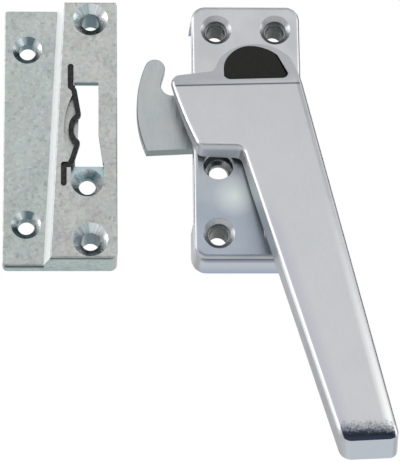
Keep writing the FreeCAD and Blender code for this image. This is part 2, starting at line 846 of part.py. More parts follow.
# Lock slide, a stamped frame round the spindle's square with a tooth at its tail
def make_lock_slide():
    body = new_body("lock_slide")
    wide = s.slide_half_width
    narrow = s.slide_tail_half_width
    shoulder = -(window_half + s.slide_bar)
    frame = [(-narrow, -tooth_outer), (narrow, -tooth_outer), (narrow, shoulder), (wide, shoulder),
             (wide, s.slide_top), (-wide, s.slide_top), (-wide, shoulder), (-narrow, shoulder)]
    prism(body, "slide_plate", frame, slide_back, slide_front)
    window = rectangle(-window_half, window_half, -window_half, window_half + s.button_travel)
    cut_prism(body, "square_window", window, slide_back - PAST, slide_front + PAST)
    tooth = rectangle(-s.tooth_half_width, s.tooth_half_width, -tooth_outer, -s.tooth_inner)
    prism(body, "tooth", tooth, tooth_back, slide_back)
    return body


# Button springs, a pair of small coils between the button and the head
WIRE_SIDES = 6


def make_button_springs():
    """Two coils whose wire is six-sided, near enough to round at this size."""
    length = (s.spring_top - button_low_z).number
    wire = s.spring_wire.number
    coils = []
    for right in (-1, 1):
        turns = s.spring_turns.number
        rise = (length - wire) / turns
        helix = Part.makeHelix(rise, length - wire, s.spring_coil_radius.number)
        section = []
        for side in range(WIRE_SIDES + 1):
            angle = 2 * math.pi * side / WIRE_SIDES
            section.append(Vector(s.spring_coil_radius.number + wire / 2 * math.cos(angle), 0,
                                  wire / 2 * math.sin(angle)))
        coil = Part.Wire(helix.Edges).makePipeShell([Part.makePolygon(section)], True, True)
        coil.translate(Vector(right * s.spring_x.number, -spring_height.number,
                              button_low_z.number + wire / 2))
        coils.append(coil)
    feature = doc.addObject("Part::Feature", "button_springs")
    feature.Shape = Part.makeCompound(coils)
    feature.Label = "button_springs"
    return feature


# Keeper, a cast flange and block with a window that the hook drops into
def make_keeper_casting():
    body = new_body("keeper_casting")
    right = -s.keeper_right_edge
    left = right - s.keeper_width
    low = -s.keeper_middle_z - s.keeper_length / 2
    top = -s.keeper_middle_z + s.keeper_length / 2
    prism(body, "flange", rectangle(left, right, low, top), as_size(0), s.flange_thickness)
    foot = [(-s.step_foot_low_x, low), (right, low), (right, top), (-s.step_foot_top_x, top)]
    crown = [(-s.step_foot_low_x + s.step_lean, low), (right, low), (right, top),
             (-s.step_foot_top_x + s.step_lean, top)]
    foot_sketch = new_sketch(body, "block_foot", s.flange_thickness)
    add_loop(foot_sketch, foot)
    crown_sketch = new_sketch(body, "block_crown", s.block_height)
    add_loop(crown_sketch, crown)
    block = body.newObject("PartDesign::AdditiveLoft", "block")
    block.Profile = foot_sketch
    block.Sections = [crown_sketch]
    block.Ruled = True
    doc.recompute()
    round_keeper_edges(body, left, right, low, top)
    cut_keeper_holes(body)
    cut_keeper_window(body)
    return body


def round_keeper_edges(body, left, right, low, top):
    """Take the sharpness off every front edge, but leave the foot of the step crisp."""
    flange_front = s.flange_thickness.number
    block_front = s.block_height.number
    step_left = -s.step_foot_top_x.number - s.step_lean.number

    def outer_edge(x, z, height):
        on_side = near(x, left.number) or near(x, right.number) or near(z, low.number) or near(z, top.number)
        return near(height, block_front) or (near(height, flange_front) and on_side and x < step_left)

    round_edges(body, "keeper_edges", s.keeper_edge_round, outer_edge)


def cut_keeper_holes(body):
    """Countersunk holes down the block and the flange, the block's relieved from behind."""
    for end, up in (("low", -1), ("top", 1)):
        z = up * s.block_hole_spacing / 2 - s.keeper_middle_z
        depth = s.block_hole_sink - s.block_hole_bore
        front = s.block_height
        round_feature(body, "Subtractive", f"block_bore_{end}", -s.block_hole_x, z, -PAST, front,
                      s.block_hole_bore)
        round_feature(body, "Subtractive", f"block_sink_{end}", -s.block_hole_x, z, front - depth,
                      front, s.block_hole_bore, s.block_hole_sink)
        round_feature(body, "Subtractive", f"block_relief_{end}", -s.block_hole_x, z, -PAST,
                      front - depth - s.keeper_bore_length, s.relief_radius)
        z = up * s.flange_hole_spacing / 2 - s.keeper_middle_z
        depth = s.flange_hole_sink - s.flange_hole_bore
        front = s.flange_thickness
        round_feature(body, "Subtractive", f"flange_bore_{end}", -s.flange_hole_x, z, -PAST, front,
                      s.flange_hole_bore)
        round_feature(body, "Subtractive", f"flange_sink_{end}", -s.flange_hole_x, z, front - depth,
                      front, s.flange_hole_bore, s.flange_hole_sink)


def cut_keeper_window(body):
    """The window with the hollow behind it, the flexing room and the recessed third screw."""
    hollow = rectangle(-s.hollow_left_x, -s.hollow_right_x, -s.window_low, s.hollow_top)
    cut_prism(body, "hollow", hollow, as_size(-PAST), s.block_height - s.window_skin)
    front = s.block_height + PAST
    window = [(-s.leaf_shin_x, -s.window_low), (-s.window_flare_x, -s.window_low),
              (-s.window_right_x, -s.window_flare_z), (-s.window_right_x, s.window_top),
              (-s.leaf_inner_x, s.window_top), (-s.leaf_crest_x, -s.leaf_crest_z),
              (-s.leaf_low_crest_x, -s.leaf_low_crest_z)]
    cut_prism(body, "window", window, s.block_height - s.window_skin - PAST, front)
    room = [(-s.leaf_shin_x, -s.leaf_flex_low_z, s.leaf_flex_round, 1),
            (-s.leaf_low_crest_x, -s.leaf_low_crest_z), (-s.leaf_crest_x, -s.leaf_crest_z),
            (-s.leaf_inner_x, s.leaf_flex_top_z)]
    cut_prism(body, "flexing_room", room, s.block_height - s.leaf_bed, front)
    u_left = -s.recess_x - s.recess_half_width
    u_right = -s.recess_x + s.recess_half_width
    recess = [(u_left, -s.window_low), (u_left, -s.recess_z),
              (-s.recess_x, -s.recess_z - s.recess_half_width, s.recess_half_width, 1),
              (u_right, -s.recess_z, s.recess_half_width, 1), (u_right, -s.window_low)]
    cut_prism(body, "screw_recess", recess, s.recess_floor, front)
    cone_low = s.recess_floor - s.recess_sink_depth
    round_feature(body, "Subtractive", "recess_sink", -s.recess_x, -s.recess_z, cone_low,
                  s.recess_floor, s.recess_bore, s.recess_half_width)
    round_feature(body, "Subtractive", "recess_bore", -s.recess_x, -s.recess_z, -PAST,
                  s.recess_floor, s.recess_bore)
    round_feature(body, "Subtractive", "recess_relief", -s.recess_x, -s.recess_z, -PAST,
                  cone_low - s.recess_bore_length, s.relief_radius)


# Leaf spring of the keeper, a stamped strip with a round detent, lying in a bed of its own shape
def leaf_line():
    """Middle line of the strip, from its top end down."""
    sketch = doc.addObject("Sketcher::SketchObject", "leaf_line")
    runs = [
        (-s.leaf_high_x, s.leaf_top_z),
        (-s.leaf_high_x, s.leaf_jog_z),
        (-s.leaf_inner_x, s.leaf_jog_z - s.leaf_jog_drop),
        (-s.leaf_crest_x, -s.leaf_crest_z),
        (-s.leaf_low_crest_x, -s.leaf_low_crest_z, s.leaf_detent, 1),
        (-s.leaf_shin_x, -s.leaf_foot_z),
        (-s.leaf_end_x, -s.leaf_foot_z),
        (-s.leaf_end_x, -s.leaf_end_z),
    ]
    add_loop(sketch, runs, closed=False)
    doc.recompute()
    return sketch


def strip(name, line, half_width, low, high):
    """The solid strip on a line, between two heights, with round ends."""
    skin = doc.addObject("Part::Offset2D", f"{name}_outline")
    skin.Source = line
    skin.Mode = "Pipe"
    bind(skin, "Value", half_width)
    doc.recompute()
    solid = doc.addObject("Part::Extrusion", name)
    solid.Base = skin
    solid.DirMode = "Custom"
    solid.Dir = Vector(0, 0, 1)
    solid.Solid = True
    bind(solid, "LengthFwd", high - low)
    solid.Placement = Placement(Vector(0, -low.number, 0), Rotation(Vector(1, 0, 0), 90))
    solid.setExpression("Placement.Base.y", (-low).words)
    solid.Label = name
    doc.recompute()
    return solid


def make_keeper():
    """The casting with the bed cut for its spring, and the spring."""
    casting = make_keeper_casting()
    line = leaf_line()
    half = s.leaf_width / 2
    bed_low = s.block_height - s.leaf_bed
    bed = strip("leaf_bed", line, half + s.leaf_gap, bed_low, s.block_height + PAST)
    keeper = doc.addObject("Part::Cut", "keeper_body")
    keeper.Base = casting
    keeper.Tool = bed
    keeper.Label = "keeper_body"
    front = s.block_height - s.leaf_sink
    leaf = strip("keeper_spring", line, half, front - s.leaf_thickness, front)
    doc.recompute()
    return keeper, leaf


# Build every piece, test it and write it out
washer_back = s.hook_back - s.washer_thickness
nodes = [
    make_base_plate(),
    make_base_cover(),
    make_ring("spindle_bush", post_top, bush_front, s.bush_radius, s.journal_radius + s.bush_play),
    make_lock_ring(),
    make_spindle(),
    make_hook(),
    make_ring("spring_washer", hook_front, hook_front + s.spring_washer_height,
              s.spring_washer_radius, s.spring_washer_inner),
    make_ring("retaining_washer", washer_back, s.hook_back, s.washer_radius, s.tenon_radius),
    make_lever(),
    make_release_button(),
    make_lock_slide(),
    make_button_springs(),
    *make_keeper(),
]
doc.recompute()
for item in doc.Objects:
    if "Invalid" in item.State or "Error" in item.State:
        raise RuntimeError(f"{item.Label} failed: {item.State}")
for node in nodes:
    if node.Shape.isNull() or not node.Shape.isValid():
        raise RuntimeError(f"{node.Label} has no valid shape")
os.makedirs("parts", exist_ok=True)
for node in nodes:
    node.Shape.exportStep(f"parts/{node.Label}.step")
    box = node.Shape.BoundBox
    print(f"{node.Label}: {len(node.Shape.Solids)} solid(s), {node.Shape.Volume:.1f} mm3, "
          f"X {box.XMin:.2f}..{box.XMax:.2f}, Y {box.YMin:.2f}..{box.YMax:.2f}, "
          f"Z {box.ZMin:.2f}..{box.ZMax:.2f}")
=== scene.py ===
# %% [markdown]
# # A casement window latch
#
# The latch is a lever of satin aluminium on a covered base, with a steel hook behind it and a
# separate cast keeper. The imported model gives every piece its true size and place, so this lesson
# is about surfaces: how a merged mesh gets soft edges, how a path becomes a sprung strip, and how
# a few noise patterns turn one metal shader into anodised aluminium, zinc plate or a zinc casting.

# %% Load the frame
import json
import math

import bmesh
import bpy
from mathutils import Matrix, Quaternion, Vector
from mathutils.geometry import intersect_plane_plane

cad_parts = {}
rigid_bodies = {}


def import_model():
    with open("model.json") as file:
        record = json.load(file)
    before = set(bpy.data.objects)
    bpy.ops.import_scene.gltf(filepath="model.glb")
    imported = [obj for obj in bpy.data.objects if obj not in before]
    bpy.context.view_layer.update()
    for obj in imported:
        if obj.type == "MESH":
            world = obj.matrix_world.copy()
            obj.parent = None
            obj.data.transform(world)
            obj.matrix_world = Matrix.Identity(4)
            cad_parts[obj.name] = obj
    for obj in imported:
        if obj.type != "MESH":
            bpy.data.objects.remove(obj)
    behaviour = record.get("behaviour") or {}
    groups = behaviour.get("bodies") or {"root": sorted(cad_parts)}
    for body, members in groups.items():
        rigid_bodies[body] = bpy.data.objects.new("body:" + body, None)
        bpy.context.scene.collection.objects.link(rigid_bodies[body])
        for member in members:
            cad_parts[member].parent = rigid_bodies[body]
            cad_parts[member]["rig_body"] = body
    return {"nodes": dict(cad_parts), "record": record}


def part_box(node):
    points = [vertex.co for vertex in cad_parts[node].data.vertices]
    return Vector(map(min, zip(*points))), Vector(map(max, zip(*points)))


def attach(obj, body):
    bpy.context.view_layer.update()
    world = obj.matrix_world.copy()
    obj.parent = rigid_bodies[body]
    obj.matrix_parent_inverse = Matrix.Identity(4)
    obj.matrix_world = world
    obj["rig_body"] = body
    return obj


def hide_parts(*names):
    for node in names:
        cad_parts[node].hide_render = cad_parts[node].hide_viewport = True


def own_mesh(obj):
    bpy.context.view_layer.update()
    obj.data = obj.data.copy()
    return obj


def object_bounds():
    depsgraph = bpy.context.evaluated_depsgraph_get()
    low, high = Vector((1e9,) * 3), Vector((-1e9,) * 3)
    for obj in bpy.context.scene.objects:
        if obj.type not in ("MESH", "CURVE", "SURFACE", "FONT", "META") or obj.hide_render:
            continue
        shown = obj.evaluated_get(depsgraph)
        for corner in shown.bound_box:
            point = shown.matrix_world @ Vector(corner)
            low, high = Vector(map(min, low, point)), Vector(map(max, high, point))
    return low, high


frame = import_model()
cad_low, cad_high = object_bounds()
MM = 0.001
print("nodes:", ", ".join(sorted(frame["nodes"])))
mounts = {mount["name"]: mount for mount in frame["record"]["mounts"]}
print("mounts:", ", ".join(mounts))

# %% [markdown]
# A real metal edge is never quite sharp: it shows as a thin bright line. The imported meshes are
# loose triangles, so each visible piece gets a merged copy. Flat triangles are joined to larger
# faces first, because a bevel runs cleanly along the border of a large face, and a live Bevel
# modifier then takes off the edges that turn by more than a set angle. Where two large flat faces
# meet at a shallow angle, as at the ridge of the lever's head, the edge is marked sharp, so that
# each face keeps its own even tone.

# %% Merged copies with soft edges
MERGE_DISTANCE = 0.002 * MM
FLAT_ANGLE = math.radians(0.4)
SHARP_ANGLE = math.radians(32)
RIDGE_ANGLE = math.radians(3)
LARGE_FACE = 12.0 * MM * MM


def in_scene(name, data):
    """A new object that holds some data, linked to the scene."""
    thing = bpy.data.objects.new(name, data)
    bpy.context.scene.collection.objects.link(thing)
    return thing


def merged_copy(node, name):
    """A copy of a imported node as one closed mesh, its flat triangles joined."""
    work = bmesh.new()
    work.from_mesh(frame["nodes"][node].data)
    bmesh.ops.remove_doubles(work, verts=work.verts, dist=MERGE_DISTANCE)
    bmesh.ops.dissolve_limit(work, angle_limit=FLAT_ANGLE, verts=work.verts, edges=work.edges)
    mesh = bpy.data.meshes.new(name)
    work.to_mesh(mesh)
    work.free()
    shade_by_edges(mesh)
    return in_scene(name, mesh)


def shade_by_edges(mesh):
    """Smooth shading, broken at sharp edges and at ridges between two large faces."""
    mesh.shade_smooth()
    work = bmesh.new()
    work.from_mesh(mesh)
    for edge in work.edges:
        if len(edge.link_faces) != 2:
            continue
        turn = edge.calc_face_angle(0.0)
        large = all(face.calc_area() > LARGE_FACE for face in edge.link_faces)
        edge.smooth = not (turn > SHARP_ANGLE or (large and turn > RIDGE_ANGLE))
    work.to_mesh(mesh)
    work.free()


def soften(piece, width, segments=3):
    """Take the sharp edges off with a small live bevel."""
    bevel = piece.modifiers.new("soft edges", "BEVEL")
    bevel.limit_method = "ANGLE"
    bevel.angle_limit = SHARP_ANGLE
    bevel.width = width
    bevel.segments = segments
    bevel.use_clamp_overlap = True
    even = piece.modifiers.new("flat faces stay flat", "WEIGHTED_NORMAL")
    even.keep_sharp = True
    return piece


def finish_piece(piece, node, material, slot):
    """Give a piece its material and let it stand for its node on the node's own body."""
    piece.data.materials.clear()
    piece.data.materials.append(material)
    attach(piece, frame["nodes"][node]["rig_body"])
    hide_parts(node)
    print(f"{piece.name}: {len(piece.data.polygons)} faces, {slot}")


# %% [markdown]
# Some corners of the castings are rounder than an edge bevel makes them: the ends of the keeper
# and the two lower corners of the grip. Such a corner is the line where two flat walls meet, so a
# prism that fills exactly what the rounding takes away can be worked out from a point on that line,
# the two outward directions and the radius. A Boolean modifier cuts it off and is applied at once.

# %% Rounding a corner with a cutter
ARC_STEPS = 10
CUTTER_MARGIN = 1.0 * MM
CUTTER_REACH = 16.0 * MM


def corner_outline(point, side_a, side_b, radius):
    """The section of a corner cutter, and the direction it runs along."""
    along = side_a.cross(side_b).normalized()
    into_a = along.cross(side_a)
    into_b = along.cross(side_b)
    if into_a.dot(side_b) > 0:
        into_a.negate()
    if into_b.dot(side_a) > 0:
        into_b.negate()
    half = into_a.angle(into_b) / 2
    run = radius / math.tan(half)
    middle = point + (into_a + into_b).normalized() * radius / math.sin(half)
    spoke = point + into_a * run - middle
    last = point + into_b * run - middle
    turn = spoke.rotation_difference(last)
    arc = [middle + Quaternion(turn.axis, turn.angle * step / ARC_STEPS) @ spoke
           for step in range(ARC_STEPS + 1)]
    outside = [arc[-1] + side_b * CUTTER_MARGIN, point + (side_a + side_b) * CUTTER_MARGIN,
               arc[0] + side_a * CUTTER_MARGIN]
    return arc + outside, along


def round_corner(piece, point, side_a, side_b, radius):
    """Cut one corner of a piece round."""
    outline, along = corner_outline(point, side_a, side_b, radius)
    work = bmesh.new()
    low, top = [[work.verts.new(spot + along * reach) for spot in outline]
                for reach in (-CUTTER_REACH, CUTTER_REACH)]
    for number in range(len(outline)):
        work.faces.new((low[number - 1], low[number], top[number], top[number - 1]))
    work.faces.new(low)
    work.faces.new(top)
    bmesh.ops.recalc_face_normals(work, faces=work.faces)
    mesh = bpy.data.meshes.new("corner cutter")
    work.to_mesh(mesh)
    work.free()
    cutter = in_scene("corner cutter", mesh)
    cut = piece.modifiers.new("round corner", "BOOLEAN")
    cut.operation = "DIFFERENCE"
    cut.solver = "EXACT"
    cut.object = cutter
    piece.data = evaluated_mesh(piece)
    piece.modifiers.clear()
    bpy.data.objects.remove(cutter)
    shade_by_edges(piece.data)


def evaluated_mesh(piece):
    """The mesh that a piece's modifiers make, as plain data."""
    bpy.context.view_layer.update()
    depsgraph = bpy.context.evaluated_depsgraph_get()
    return bpy.data.meshes.new_from_object(piece.evaluated_get(depsgraph))


# %% [markdown]
# A countersink is cut, not cast, and the walls of a hole get painted light: a painted reflection on
# the countersink, cooler than the faces round it, with streaks that run out from the screw's axis,
# and a painted shade in the bore. A material can't know which faces lie in a hole, so each face
# near an axis and behind the front gets a mark, and each point near it the direction out of the
# axis, both stored as attributes. The axes come from the mounts of the imported model.

# %% Marking the faces of the screw holes
PER_MM = 1000.0
SEEN_DEPTH = 0.05 * MM
BACK_SKIN = 0.2 * MM


def hole_axes(name):
    """The X and Z of each screw axis of a mount."""
    mount = mounts[name]
    place = Vector(mount["pos_m"])
    sizes = mount["dims"]
    half_x = sizes.get("spacing_x_mm", 0.0) * MM / 2
    half_z = sizes.get("spacing_y_mm", 0.0) * MM / 2
    return sorted({(place.x + right * half_x, place.z + up * half_z)
                   for right in (-1, 1) for up in (-1, 1)})


def mark_holes(piece, fronts, reach):
    """Mark the faces in the holes of some mounts, and store on their points the way out."""
    holes = [(x, z, front) for name, front in fronts.items() for x, z in hole_axes(name)]
    mesh = piece.data
    mark = mesh.attributes.new("hole", "FLOAT", "FACE")
    spoke = mesh.attributes.new("spoke", "FLOAT_VECTOR", "POINT")
    for vertex in mesh.vertices:
        for x, z, front in holes:
            out = Vector((vertex.co.x - x, vertex.co.z - z, 0))
            if 0 < out.length < reach:
                # The third number tells the holes apart, so each has streaks of its own.
                spoke.data[vertex.index].vector = out.normalized() + Vector((0, 0, x * PER_MM))
    count = 0
    for face in mesh.polygons:
        spot = face.center
        if any(math.hypot(spot.x - x, spot.z - z) < reach and front + SEEN_DEPTH < spot.y < -BACK_SKIN
               for x, z, front in holes):
            mark.data[face.index].value = 1.0
            count += 1
    print(f"{piece.name}: {count} faces in {len(holes)} holes")


# %% [markdown]
# Every finish is the same shader with other numbers: a metal or a plastic, a colour and a roughness
# that vary a little, and a bump so fine that it only breaks up the reflections. All patterns read
# object coordinates, in metres, so a noise scale of 1000 means features of about a millimetre. A
# mask tells where a shade lies: by the place along a direction, or by the way a face is turned.

# %% Helpers for the shaders
RIGHT = (1.0, 0.0, 0.0)
BACK = (0.0, 1.0, 0.0)
UP = (0.0, 0.0, 1.0)
BLACK = (0.0, 0.0, 0.0)
WHITE = (1.0, 1.0, 1.0)
SQUARELY = [(0.8, BLACK), (0.9, WHITE)]
# A Mix node has a set of sockets for each kind of data; these are its factor and its colours.
MIX_INPUTS = (0, 6, 7)
MIX_OUTPUT = 2


class Nodes:
    """A tree of nodes that is filled by short calls."""

    def __init__(self, tree, family):
        self.tree = tree
        self.family = family

    def feed(self, target, value):
        """Link a socket to an input, or set the input to a value."""
        if isinstance(value, bpy.types.NodeSocket):
            self.tree.links.new(value, target)
        elif target.type == "RGBA":
            target.default_value = (*value, 1.0)
        else:
            target.default_value = value

    def node(self, kind, settings=None, family=None, **inputs):
        """A node with its settings, its inputs given by name with _ for a space."""
        node = self.tree.nodes.new((family or self.family) + kind)
        for key, value in (settings or {}).items():
            setattr(node, key, value)
        for key, value in inputs.items():
            self.feed(node.inputs[key.replace("_", " ")], value)
        return node

    def maths(self, operation, *values):
        """One sum on a few numbers."""
        node = self.node("Math", {"operation": operation}, "ShaderNode")
        for target, value in zip(node.inputs, values):
            self.feed(target, value)
        return node.outputs[0]


class Shader(Nodes):
    """One material with its Principled shader and the few nodes that feed it."""

    def __init__(self, name, metallic, roughness):
        self.material = bpy.data.materials.new(name)
        self.material.use_nodes = True
        super().__init__(self.material.node_tree, "ShaderNode")
        self.shader = self.tree.nodes["Principled BSDF"].inputs
        self.feed(self.shader["Metallic"], metallic)
        self.feed(self.shader["Roughness"], roughness)
        self.place = self.node("TexCoord").outputs["Object"]

    def stretched(self, factors, turn=(0.0, 0.0, 0.0)):
        """Object coordinates scaled per axis, for a pattern with a direction."""
        return self.node("Mapping", Vector=self.place, Scale=factors, Rotation=turn).outputs["Vector"]

    def noise(self, per_mm, detail=3.0, place=None, roughness=0.5):
        """Noise with this many features per millimetre."""
        return self.node("TexNoise", Vector=place or self.place, Scale=per_mm * PER_MM, Detail=detail,
                         Roughness=roughness).outputs["Fac"]

    def cells(self, per_mm):
        """Voronoi crystals, each with a random colour."""
        return self.node("TexVoronoi", Vector=self.place, Scale=per_mm * PER_MM).outputs["Color"]

    def stored(self, name, output="Fac"):
        """A number, or a vector, stored on the mesh."""
        return self.node("Attribute", {"attribute_name": name}).outputs[output]

    def ramp(self, factor, stops):
        """Colours by factor; a stop is (position, colour)."""
        ramp = self.node("ValToRGB", Fac=factor)
        elements = ramp.color_ramp.elements
        while len(elements) < len(stops):
            elements.new(0.5)
        for element, (position, colour) in zip(elements, stops):
            element.position = position
            element.color = (*colour, 1.0)
        return ramp.outputs["Color"]

    def span(self, factor, low, high, from_low=0.3, from_high=0.7):
        """The factor mapped to a range of numbers."""
        return self.node("MapRange", Value=factor, From_Min=from_low, From_Max=from_high,
                         To_Min=low, To_Max=high).outputs["Result"]

    def mix(self, factor, first, second, blend="MIX"):
        """Two colours mixed; either may be a colour or a socket."""
        mix = self.node("Mix", {"data_type": "RGBA", "blend_type": blend})
        for number, value in zip(MIX_INPUTS, (factor, first, second)):
            self.feed(mix.inputs[number], value)
        return mix.outputs[MIX_OUTPUT]

    def tint(self, colour, shade):
        """A colour multiplied by another one."""
        return self.mix(1.0, colour, shade, "MULTIPLY")

    def times(self, first, second):
        """Two masks, where both hold."""
        return self.maths("MULTIPLY", first, second)

    def along(self, way, vector=None, operation="DOT_PRODUCT"):
        """How far the place, or another vector, lies along a direction, or from a spot."""
        along = self.node("VectorMath", {"operation": operation})
        self.feed(along.inputs[0], vector or self.place)
        self.feed(along.inputs[1], way)
        return along.outputs["Value"]

    def across(self, way, low, top, first, last):
        """A number that changes along a direction, from first at low to last at top."""
        return self.span(self.along(way), first, last, low, top)

    def facing(self, way, stops):
        """Colours by how far a face turns against a direction, from 0 at the side to 1."""
        normal = self.node("TexCoord").outputs["Normal"]
        return self.ramp(self.span(self.along(way, normal), 1.0, 0.0, -1.0, 0.0), stops)

    def front(self):
        """1 on the faces that look to the front."""
        return self.facing(BACK, SQUARELY)

    def bottom(self):
        """1 on the faces that look down."""
        return self.facing(UP, SQUARELY)

    def front_line(self, z, width):
        """1 on a level line across the front faces, falling to 0 at its width."""
        line = self.times(self.across(UP, z - width, z, 0.0, 1.0),
                          self.across(UP, z, z + width, 1.0, 0.0))
        return self.times(line, self.front())

    def bottom_line(self, front, depths):
        """1 on the bottom faces behind a front, falling to 0 between two depths."""
        near, far = depths
        return self.times(self.across(BACK, front + near, front + far, 1.0, 0.0), self.bottom())

    def spot(self, centre, radius):
        """1 at a spot, falling softly to 0 at its radius."""
        return self.span(self.along(centre, operation="DISTANCE"), 1.0, 0.0, 0.0, radius)

    def add(self, first, second, weight):
        """first + second * weight, as one height."""
        return self.maths("MULTIPLY_ADD", second, weight, first)

    def bump(self, height, depth):
        """Bump of a true depth in metres."""
        bump = self.node("Bump", Height=height, Distance=depth)
        self.feed(self.shader["Normal"], bump.outputs["Normal"])

    def colour(self, socket):
        self.feed(self.shader["Base Color"], socket)

    def rough(self, socket):
        self.feed(self.shader["Roughness"], socket)


def grey(level, blue=0.0):
    """A linear grey with a little blue."""
    return (level * (1.0 - blue), level, level * (1.0 + blue))


# %% [markdown]
# Anodised aluminium is etched before it is anodised. The etch leaves a dense, very fine grain that
# makes the metal satin, and the rolling direction shows only as a faint streak. The lever and the
# cover share this recipe. Their faces that look down get a rougher finish, which shows the soft
# grey of the room and no sharp picture of it, and a painted light: a paler, bluer colour that lifts
# the shade under them.

# %% Satin aluminium
SATIN_ROUGH = 0.30
UNDERSIDE_PAINTED_LIGHT = (0.73, 0.77, 0.82)
UNDERSIDE_ROUGH = (0.7, 0.7, 0.7)


def satin_aluminium(name, tone, streak, blotch):
    """The shader of the plain finish, and its colour for a piece to add to."""
    made = Shader(name, metallic=1.0, roughness=SATIN_ROUGH)
    streaks = made.noise(2.2, 4.0, made.stretched((1.0, 1.0, 0.12)))
    clouds = made.noise(0.09, 2.0)
    grain = made.noise(9.0, 2.0)
    base = made.ramp(clouds, [(0.35, grey(tone * (1 - blotch), 0.03)), (0.65, grey(tone, 0.02))])
    tinted = made.mix(streak, base, made.ramp(streaks, [(0.3, grey(tone * 0.82, 0.03)),
                                                        (0.7, grey(tone * 1.1, 0.02))]))
    sheen = made.span(made.add(clouds, grain, 0.5), SATIN_ROUGH * 0.85, SATIN_ROUGH * 1.2, 0.4, 1.1)
    made.rough(made.mix(made.bottom(), sheen, UNDERSIDE_ROUGH))
    made.bump(made.add(grain, streaks, 0.6), 0.004 * MM)
    # Painted light: the faces that look down get a paler, bluer colour.
    return made, made.mix(made.bottom(), tinted, UNDERSIDE_PAINTED_LIGHT)


# %% [markdown]
# The lever's shine is painted into its colour, and it follows its shape. The ridge of the head gets a
# painted dark line. Along the grip the left rim gets a painted shade and the right one a painted
# highlight that grows white towards the end, which rolls over into a painted dark reflection that
# starts in flecks. An image would not follow the shape, so the material finds all of these by
# height and by the distance along a flank's direction, measured on the mesh.

# %% The lever's finish
# Sizes and colours of the painted shade, highlight and reflection on the lever.
RIDGE_LINE = 0.38 * MM
RIDGE_PAINTED_SHADE = (0.06, 0.08, 0.12)
GRIP_Z = -28.0 * MM
LEFT_FLANK = Vector((-0.968, 0.0, -0.251))
LEFT_RIM = 4.0 * MM
LEFT_SHARE = 0.7
LEFT_RIM_PAINTED_SHADE = (0.45, 0.46, 0.56)
RIGHT_FLANK = Vector((0.983, 0.0, 0.186))
RIGHT_RIM = 1.5 * MM
RIGHT_EDGE = 0.2 * MM
END_LEAN = 2.9 * MM
ROLL = (0.54 * MM, 5.4 * MM)
ROLL_PAINTED_REFLECTION = (0.055, 0.068, 0.105)


def lever_aluminium(ridge, left, right, end):
    """The plain finish with painted shade, highlight and dark reflection on ridge, rims and grip end.
    """
    made, tinted = satin_aluminium("satin_aluminium_lever", tone=0.61, streak=0.12, blotch=0.04)
    front = made.front()
    # Painted shade: a dark line along the ridge of the head.
    tinted = made.mix(made.front_line(ridge, RIDGE_LINE), tinted, RIDGE_PAINTED_SHADE)
    # Painted shade on the left rim of the grip.
    left_rim_shade = made.across(LEFT_FLANK, left - LEFT_RIM, left, 0.0, LEFT_SHARE)
    grip_only = made.times(front, made.across(UP, GRIP_Z - 2 * LEFT_RIM, GRIP_Z, 1.0, 0.0))
    tinted = made.mix(made.times(left_rim_shade, grip_only), tinted, LEFT_RIM_PAINTED_SHADE)
    # Painted highlight: the right rim of the grip grows white towards the end.
    right_rim_highlight = made.across(RIGHT_FLANK, right - RIGHT_RIM, right, 0.0, 1.0)
    roll_low, roll_top = end + ROLL[0], end + ROLL[1]
    down_grip = made.times(front, made.across(UP, roll_top, GRIP_Z, 1.0, 0.0))
    tinted = made.mix(made.times(right_rim_highlight, down_grip), tinted, WHITE)
    # Painted dark reflection on the roll at the grip's end, its start broken into flecks.
    flecks = made.add(made.across(UP, roll_low, roll_top, 1.0, 0.0), made.noise(1.9, 3.0), 0.9)
    roll = made.times(made.span(flecks, 0.0, 1.0, 0.64, 1.25), front)
    made.colour(made.mix(roll, tinted, ROLL_PAINTED_REFLECTION))
    return made.material


lever_blade = merged_copy("lever", "lever_blade")
corners = lever_blade.data.vertices
lever_front = max(lever_blade.data.polygons, key=lambda face: face.area)
front_spots = [corners[number].co for number in lever_front.vertices]
ridge_z = max(spot.z for spot in front_spots)
left_end = max(corner.co.dot(LEFT_FLANK) for corner in corners if corner.co.z < GRIP_Z)
low_right = max((spot for spot in front_spots if spot.z < 2 * GRIP_Z), key=lambda spot: spot.x)
right_end = low_right.dot(RIGHT_FLANK) + RIGHT_EDGE
grip_end_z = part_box("lever")[0].z + END_LEAN
lever_finish = lever_aluminium(ridge_z, left_end, right_end, grip_end_z)
print(f"{lever_finish.name}: ridge at {ridge_z / MM:.2f} mm, end at {grip_end_z / MM:.2f} mm")

# %% [markdown]
# The cover is the same metal, but blotchier. Under the lever it gets a painted shade that turns bluer
# towards its foot, its bottom wall gets a painted dark line just behind the front and a painted shade
# towards the back, and it has one painted pale reflection. A lamp for that reflection would light the
# lever too, so it is mixed into the colour round a spot.

# %% The cover's finish
# Colours and sizes of the painted shade and the painted reflection on the cover.
FOOT_SHARES = (0.7, 0.2)
FOOT_PAINTED_SHADE = (0.72, 0.79, 0.88)
FOOT_EDGE = (0.4 * MM, 3.6 * MM)
FOOT_LINE_PAINTED_SHADE = (0.17, 0.20, 0.26)
PATCH_X = -5.8 * MM
PATCH_Z = -24.4 * MM
PATCH_RADIUS = 5.6 * MM
PATCH_PAINTED_REFLECTION = (0.70, 0.75, 0.74)


